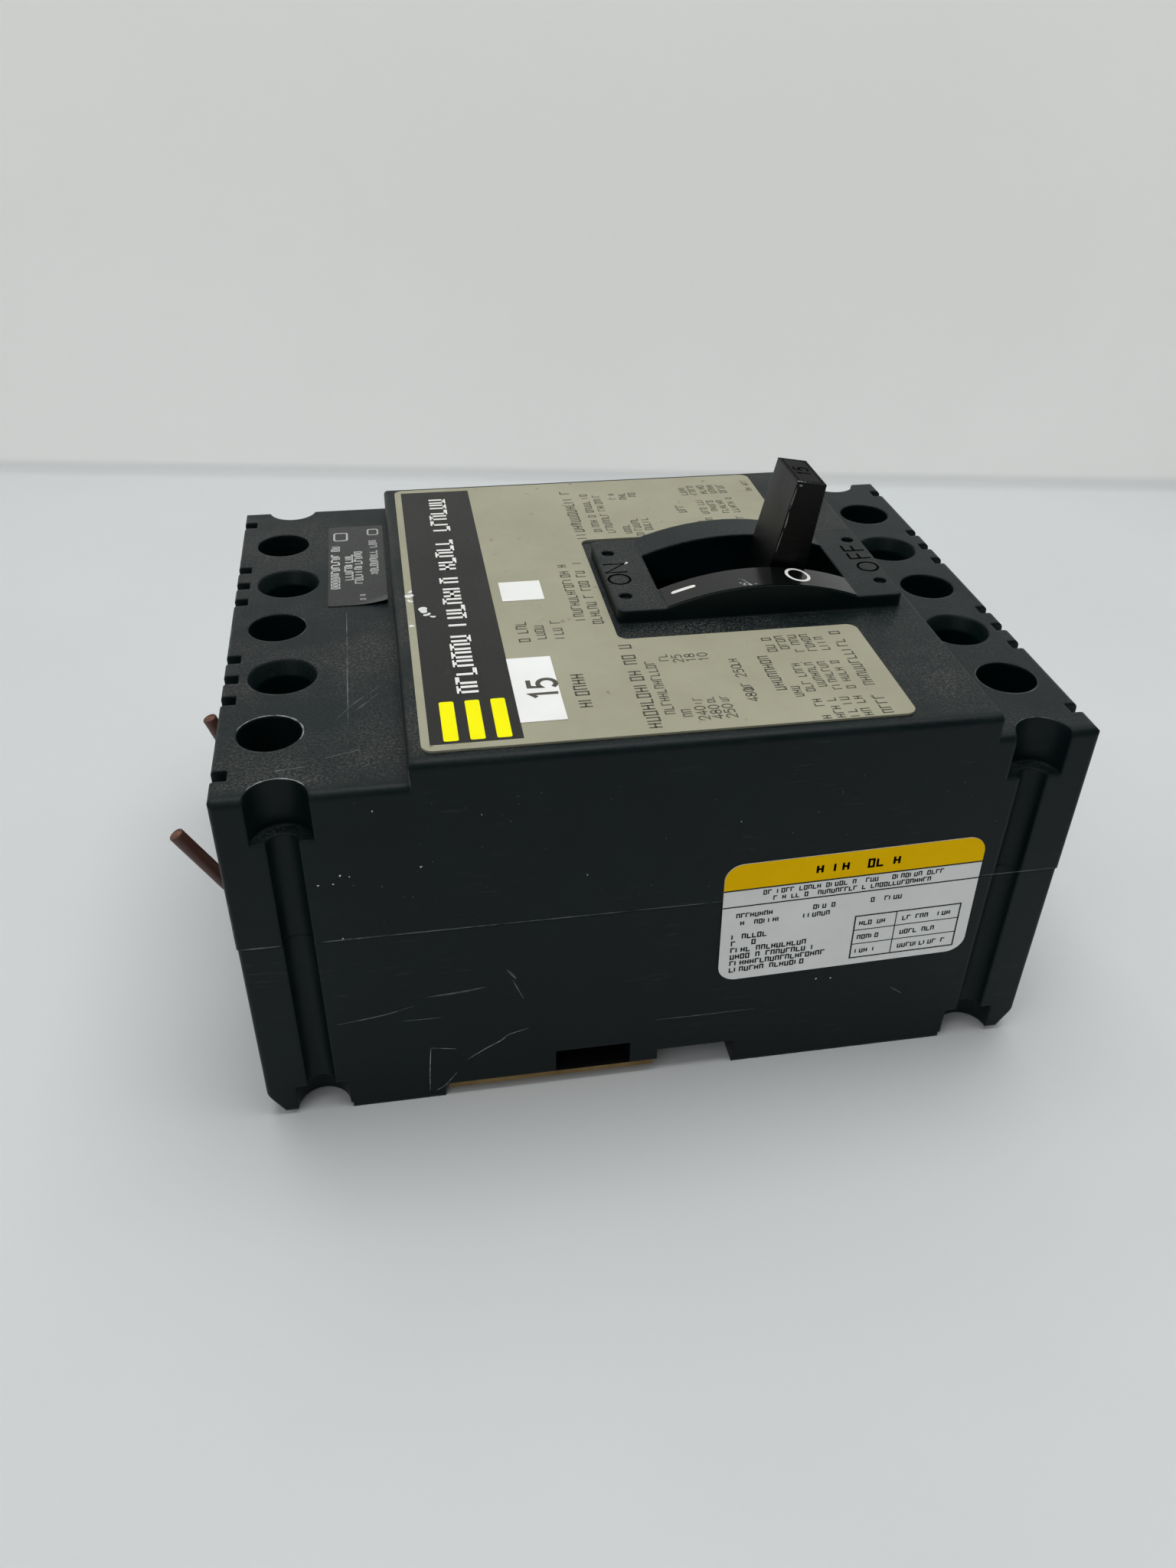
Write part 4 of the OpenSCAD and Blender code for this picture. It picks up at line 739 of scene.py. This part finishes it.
# First and last place along the label, foot, letter height
label_rows = [
    (-7.4, 8.6, 10.0, 2.2), (-17.2, 17.4, 6.5, 1.15), (-15.2, 15.6, 4.9, 1.15),
    (-22.0, -14.6, 1.4, 1.2), (-22.0, -12.0, -0.5, 1.2), (-9.0, -2.4, 1.4, 1.2),
    (-9.0, -3.4, -0.5, 1.2), (4.0, 10.4, 1.4, 1.2), (-22.6, -16.0, -3.9, 1.35),
    (-22.6, -17.2, -5.6, 1.35), (-22.6, -7.0, -7.3, 1.35), (-22.6, -5.0, -9.0, 1.35),
    (-22.6, -3.2, -10.7, 1.35), (-22.6, -7.2, -12.4, 1.35), (11.0, 20.6, -4.3, 1.2),
    (11.0, 18.0, -7.9, 1.2), (11.0, 21.0, -11.5, 1.2), (2.4, 7.8, -4.3, 1.2),
    (2.4, 7.0, -7.9, 1.2), (2.4, 8.0, -11.5, 1.2),
]
for first, last, foot, height in label_rows:
    lines += print_row(first, last, foot, height, 0.21 * height, label_face, draw)
add_piece("label_print", lines, "case", label_ink)


# ------------------------------------------------------------------ foil label with a lifted corner
def foil_sheet():
    """A thin sheet over the CAD label's outline: flat, but rising as the square of how far a point
    lies past a slant line near one corner, on a top and a bottom sheet with a wall round them."""
    rise, thick = 0.05, 0.12
    u, v = np.meshgrid(np.linspace(foil_low[0], foil_high[0], 33),
                       np.linspace(foil_low[1], foil_high[1], 65), indexing="ij")
    past = np.clip(0.55 * (u - foil_low[0] - 6.0) - 0.9 * (v - foil_low[1] - 1.0), 0, None)
    top = foil_high[2] + rise * past ** 2
    bottom = np.maximum(top - thick, foil_low[2] + 0.01)
    sheets = [np.stack([u, v, top], -1), np.stack([u, v, bottom], -1)]
    n, m = u.shape
    cell = np.arange(n * m).reshape(n, m)
    quad = np.stack([cell[:-1, :-1], cell[1:, :-1], cell[1:, 1:], cell[:-1, 1:]], -1).reshape(-1, 4)
    rim = np.concatenate([cell[:-1, 0], cell[-1, :-1], cell[:0:-1, -1], cell[0, :0:-1]])
    after = np.roll(rim, -1)
    wall = np.stack([rim + n * m, after + n * m, after, rim], -1)
    faces = np.concatenate([quad, quad[:, ::-1] + n * m, wall]).tolist()
    return np.concatenate([s.reshape(-1, 3) for s in sheets]) * MM, faces


foil = add_piece("foil_sheet", [foil_sheet()], "case", finishes["foil"])
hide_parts("foil_label")
foil_top = deck_place(foil_high[2])
foil_rows = [(-55.0, 15.0, 36.4, 1.9), (-52.2, 18.8, 32.2, 1.9), (-50.2, 17.0, 33.4, 1.8),
             (-46.9, 18.4, 39.0, 1.8), (-49.8, 9.4, 13.2, 1.2)]
foil_marks = print_block(foil_rows, 0.2, foil_top)
foil_marks += [strip(box_outline(38.6, 42.6, 53.4, 56.2, 0.6), 0.4, foil_top, True),
               strip(box_outline(41.0, 44.0, 46.6, 48.8, 0.5), 0.35, foil_top, True)]
add_piece("foil_print", foil_marks, "case", foil_ink)

# ------------------------------------------------------------------ handle
lean = np.radians(9.6)
handle_r = 62.0
pivot = joint_at("handle_tilt")
out_of_tip = np.array([np.sin(lean), 0, np.cos(lean)])
tip_face = flat_place(pivot + handle_r * out_of_tip, (0, 1, 0), (-np.cos(lean), 0, np.sin(lean)))
# The number 15 and the panel's outline on the handle's tip, near black as painted shade of their relief
tip_half_u, tip_half_v = 5.75, 2.4
tip_line = strip(box_outline(-tip_half_u, tip_half_u, -tip_half_v, tip_half_v), 0.2, tip_face, True)
add_piece("handle_number", letters("15", -2.1, -1.5, 2.9, 0.46, tip_face, 0.8) + [tip_line],
          "handle", relief_shade)


# ------------------------------------------------------------------ rubs, chips, scratches and painted highlights
def near_face(y):
    """A wall that faces the photograph's side: u is X and v is Z."""
    return flat_place((0, y, 0), (1, 0, 0), (0, 0, 1))


base_side, cover_side = near_face(-half_w + base_inset), near_face(-half_w)
shelf_top = deck_place(shelf_z)


def scratch(path, width, place):
    """A hairline: a curve through its points that narrows to nothing at both ends."""
    path = np.asarray(path, float)
    if len(path) > 2:
        line = smooth_line(np.column_stack([path, np.zeros(len(path))]), 6)[:, :2]
    else:
        line = path[0] + np.linspace(0, 1, 9)[:, None] * (path[1] - path[0])
    taper = np.sin(np.linspace(0.08, np.pi - 0.08, len(line))) ** 0.6
    return strip(line, width * taper, place, lift=HAIR_LIFT, sink=THIN_SINK)


def scratches(runs, place):
    """A hairline for each run of points and its width."""
    return [scratch(path, width, place) for path, width in runs]


def chips(spots, place, grow=1.0, count=16, lift=THIN_LIFT, sink=THIN_SINK):
    """A chip for each spot, given as its place and size; grow scales the sizes."""
    return [prism(blob(u, v, grow * size, draw, count), place, lift, sink) for u, v, size in spots]


side_runs = [
    ([(-61.2, 22.9), (-52.8, 24.1), (-47.0, 25.6)], 0.28),
    ([(-44.8, 27.5), (-38.5, 27.9), (-33.5, 28.5)], 0.4), ([(-49.4, 22.0), (-41.9, 21.8)], 0.2),
    ([(-0.7, 14.6), (7.4, 14.5), (19.1, 14.6)], 0.18), ([(47.0, 16.4), (49.8, 14.2)], 0.25),
    ([(-29.6, 32.4), (-27.9, 29.8)], 0.5), ([(-28.6, 29.6), (-26.6, 24.4)], 0.22)]
keen_runs = [
    ([(-44.5, 13.9), (-45.0, 8.0), (-45.3, 2.0)], 0.18), ([(-44.5, 13.9), (-39.7, 12.9)], 0.15),
    ([(-44.1, 1.8), (-42.3, 3.0), (-39.9, 6.2)], 0.18),
    ([(-37.8, 9.5), (-34.0, 12.1), (-31.1, 13.8), (-29.5, 15.2), (-25.8, 16.3)], 0.2)]
shelf_runs = [
    ([(-33.2, 52.9), (-27.4, 48.4)], 0.2), ([(-37.0, 53.9), (-16.0, 53.9), (4.6, 53.8)], 0.22),
    ([(-49.6, 66.0), (-49.0, 61.0)], 0.3), ([(-47.0, 58.0), (-45.2, 52.0)], 0.2),
    ([(-36.0, 56.4), (-30.6, 53.0), (-24.6, 47.8)], 0.12)]
for name, runs, place, finish in [("side_scratches", side_runs, base_side, pale_scuff_and_highlight),
                                  ("keen_scratches", keen_runs, base_side, rim_scuff_and_highlight),
                                  ("shelf_scratches", shelf_runs, shelf_top, pale_scuff_and_highlight)]:
    add_piece(name, scratches(runs, place), "case", finish)

fleck_at = [(-60.9, 56.6, 0.35), (-58.4, 56.6, 0.3), (-57.1, 58.3, 0.4), (-55.6, 57.9, 0.25),
            (-43.6, 58.6, 0.4), (-50.7, 71.1, 0.3), (-58.0, 44.2, 0.3), (31.0, 21.0, 0.4),
            (34.0, 20.8, 0.35), (-15.0, 53.3, 0.25), (12.0, 62.0, 0.2), (-33.0, 68.5, 0.2)]
flecks = []
for spot in fleck_at:
    flecks += chips([spot], cover_side if spot[1] > seam_z else base_side, 0.42)
add_piece("side_flecks", flecks, "case", bright_chip)
speck_count = 60
speck_at = np.column_stack([draw.uniform(-58, 62, speck_count), draw.uniform(45, 73, speck_count),
                            draw.uniform(0.04, 0.12, speck_count)])
add_piece("side_specks", chips(speck_at, cover_side, count=8), "case", pale_scuff_and_highlight)
chip_at = [(0.6, 41.3, 0.55), (-1.6, 41.2, 0.35), (-5.6, 38.9, 0.75), (-7.6, 38.2, 0.4),
           (-8.6, 37.2, 0.3), (-11.8, 41.4, 0.3), (2.4, 41.0, 0.3)]
add_piece("plate_chips", chips(chip_at, band_top, 1.4, lift=0.03, sink=0.02), "case", bright_chip)
letter_at = [(4.9, -3.1, 0.3), (4.5, -2.7, 0.18)]
add_piece("letter_chips", chips(letter_at, esc_top, lift=0.02, sink=0.02), "case", bright_chip)


def rim_rub_and_highlight(cx, cy, r, start, stop, width, place):
    """A rim, partly rubbed wear and partly painted highlight: an arc round a hole whose width runs through values
    drawn at random.
    """
    points, knots = 40, 15
    arc = oval(cy, -cx, r, r, start, stop, points)
    wide = draw.uniform(0.08, 1.0, knots) * np.sin(np.linspace(0.1, 3.0, knots)) ** 0.5
    waves = np.interp(np.linspace(0, knots - 1, points), np.arange(knots), wide)
    return strip(arc, width * waves, place, lift=THIN_LIFT, sink=THIN_SINK)


access_x, mount_x, pole_pitch = 67.2, 65.6, 38.1
access_r, mount_rim_r = 5.55, 6.35
half_seat_r = 5.2
# Light rims round the line-end holes: partly rubbed wear, partly painted highlight on their rounded edges
rims = [rim_rub_and_highlight(-access_x, -pole_pitch, access_r + 0.2, -115, 75, 0.5, shelf_top),
        rim_rub_and_highlight(-mount_x, -half_w, half_seat_r + 0.2, -58, 58, 0.4, shelf_top)]
faint_rims = [rim_rub_and_highlight(-access_x, 0.0, access_r + 0.12, -165, -20, 0.2, shelf_top),
              rim_rub_and_highlight(-access_x, pole_pitch, access_r + 0.1, -150, -40, 0.14, shelf_top),
              rim_rub_and_highlight(access_x, -pole_pitch, access_r + 0.14, 0, 330, 0.16, shelf_top),
              rim_rub_and_highlight(mount_x, -half_w, half_seat_r + 0.15, -55, 55, 0.22, shelf_top),
              rim_rub_and_highlight(-mount_x, -pole_pitch / 2, mount_rim_r + 0.1, 90, 180, 0.16, shelf_top),
              rim_rub_and_highlight(mount_x, -pole_pitch / 2, mount_rim_r + 0.1, 20, 200, 0.14, shelf_top)]
add_piece("bright_rims", rims, "case", rim_scuff_and_highlight)
add_piece("faint_rims", faint_rims, "case", pale_scuff_and_highlight)

# Painted highlight along the cover's lower edge at the seam: the line's two heights, then each run's ends and
# width
glint_a, glint_b = 43.86, 43.88
seam_runs = [([(-75.6, glint_a), (-68.6, glint_a)], 0.3), ([(-61.6, glint_a), (-50.0, glint_b)], 0.34),
             ([(-50.6, glint_a), (-30.0, glint_b)], 0.26), ([(-31.0, glint_b), (-6.0, glint_a)], 0.22),
             ([(-7.0, glint_a), (11.0, glint_b)], 0.18), ([(60.6, glint_a), (75.4, glint_b)], 0.2)]
add_piece("seam_glints", scratches(seam_runs, cover_side), "case", pale_scuff_and_highlight)

# The rubbed crown of the near rail, and the handle's near edge and tip
rail_at = [(-14.6, -22.2, 0.42), (-15.0, -23.2, 0.35), (-13.9, -21.6, 0.25), (-14.9, -24.4, 0.22)]
rail_run = ([(-11.9, -21.8), (-13.2, -22.6), (-14.8, -23.2)], 0.22)
add_piece("rail_scuffs", chips(rail_at, arch_top, lift=0.02) + scratches([rail_run], arch_top),
          "case", rim_scuff_and_highlight)
handle_side = near_face(-handle_half_w)
handle_runs = [([(33.4, 101.4), (32.8, 98.8), (32.45, 97.2)], 0.3),
               ([(32.35, 96.6), (32.1, 94.6), (31.8, 93.2)], 0.26),
               ([(31.6, 92.6), (31.05, 90.2), (30.6, 88.2)], 0.2)]
tip_at = [(-6.1, 2.7, 0.2), (-6.12, 2.1, 0.24), (-6.15, 1.4, 0.2), (-6.2, 0.5, 0.13)]
add_piece("handle_scuffs", scratches(handle_runs, handle_side)
          + chips([(34.1, 101.8, 0.26)], handle_side) + chips(tip_at, tip_face), "handle", rim_scuff_and_highlight)


# ------------------------------------------------------------------ stage and light
def cove():
    """Floor and wall in one sheet: a level line, a small quarter circle and an upright, carried
    sideways along the wall's own direction."""
    along, back, up = np.array([(0.986, -0.165, 0.0), (0.165, 0.986, 0.0), (0.0, 0.0, 1.0)])
    foot = np.array([38.9, 253.5, 0.0])
    bend_r, floor_deep, wall_high, half_wide = 4.0, 1500.0, 900.0, 1400.0
    bend = oval(0, 1, 1, 1, -90, 0, 9) * bend_r
    side = np.vstack([[(-floor_deep, 0.0)], bend, [(bend_r, wall_high)]]) - (bend_r, 0.0)
    reach = np.linspace(-half_wide, half_wide, 3)
    points = (foot + reach[:, None, None] * along + side[None, :, :1] * back
              + side[None, :, 1:] * up)
    n, m = points.shape[:2]
    cell = np.arange(n * m).reshape(n, m)
    faces = np.stack([cell[:-1, :-1], cell[1:, :-1], cell[1:, 1:], cell[:-1, 1:]], -1).reshape(-1, 4)
    return points.reshape(-1, 3) * MM, faces.tolist()


def stage_finish():
    """Pale board: faint clouds, and a little light of its own on the wall, which stands in shade."""
    material, net, shader, at = new_finish("stage_paint")
    clouds = net.span(net.noise(at, 6.0), 0.4, 0.6)
    net.put(shader.inputs["Base Color"], net.blend(clouds, ink(222, 225, 226), ink(219, 222, 223)))
    shader.inputs["Roughness"].default_value = 0.7
    shader.inputs["Specular IOR Level"].default_value = 0.1
    shader.inputs["Emission Color"].default_value = ink(255, 252, 240)
    net.put(shader.inputs["Emission Strength"], net.span(net.parts(at)[2], 0.001, 0.006, 0.0, 0.2))
    return material


stage_points, stage_faces = cove()
stage_mesh = bpy.data.meshes.new("stage_cove")
stage_mesh.from_pydata(stage_points.tolist(), [], stage_faces)
stage_mesh.materials.append(stage_finish())
stage = bpy.data.objects.new("stage_cove", stage_mesh)
bpy.context.scene.collection.objects.link(stage)
stage_mesh.shade_smooth()


def soft_box(name, at, aim, size, watts):
    """A square area lamp at a place, turned to face a point."""
    data = bpy.data.lights.new(name, "AREA")
    data.size, data.energy = size, watts
    lamp = bpy.data.objects.new(name, data)
    bpy.context.scene.collection.objects.link(lamp)
    back = np.array(at, float) - np.array(aim, float)
    back /= np.linalg.norm(back)
    side = np.cross((0.0, 1.0, 0.0), back)
    side /= np.linalg.norm(side)
    axes = np.eye(4)
    axes[:3, :3] = np.stack([side, np.cross(back, side), back], 1)
    axes[:3, 3] = at
    lamp.matrix_world = Matrix(axes.tolist())


soft_box("overhead", (0.05, 0.10, 0.85), (0.0, 0.0, 0.05), 0.7, 5.6)
soft_box("front_fill", (-0.5, -0.7, 0.7), (0.0, 0.0, 0.05), 0.8, 1.6)

world = bpy.data.worlds.new("soft_room")
bpy.context.scene.world = world
world.use_nodes = True
sky = Net(world.node_tree)
facing = sky.parts(sky.node("ShaderNodeTexCoord").outputs["Generated"])[1]
room = world.node_tree.nodes["Background"]
room.inputs["Color"].default_value = (0.96, 0.98, 1.0, 1.0)
sky.put(room.inputs["Strength"], sky.span(facing, -0.7, 0.7, 0.16, 0.42))
bpy.context.scene.view_settings.view_transform = "Standard"
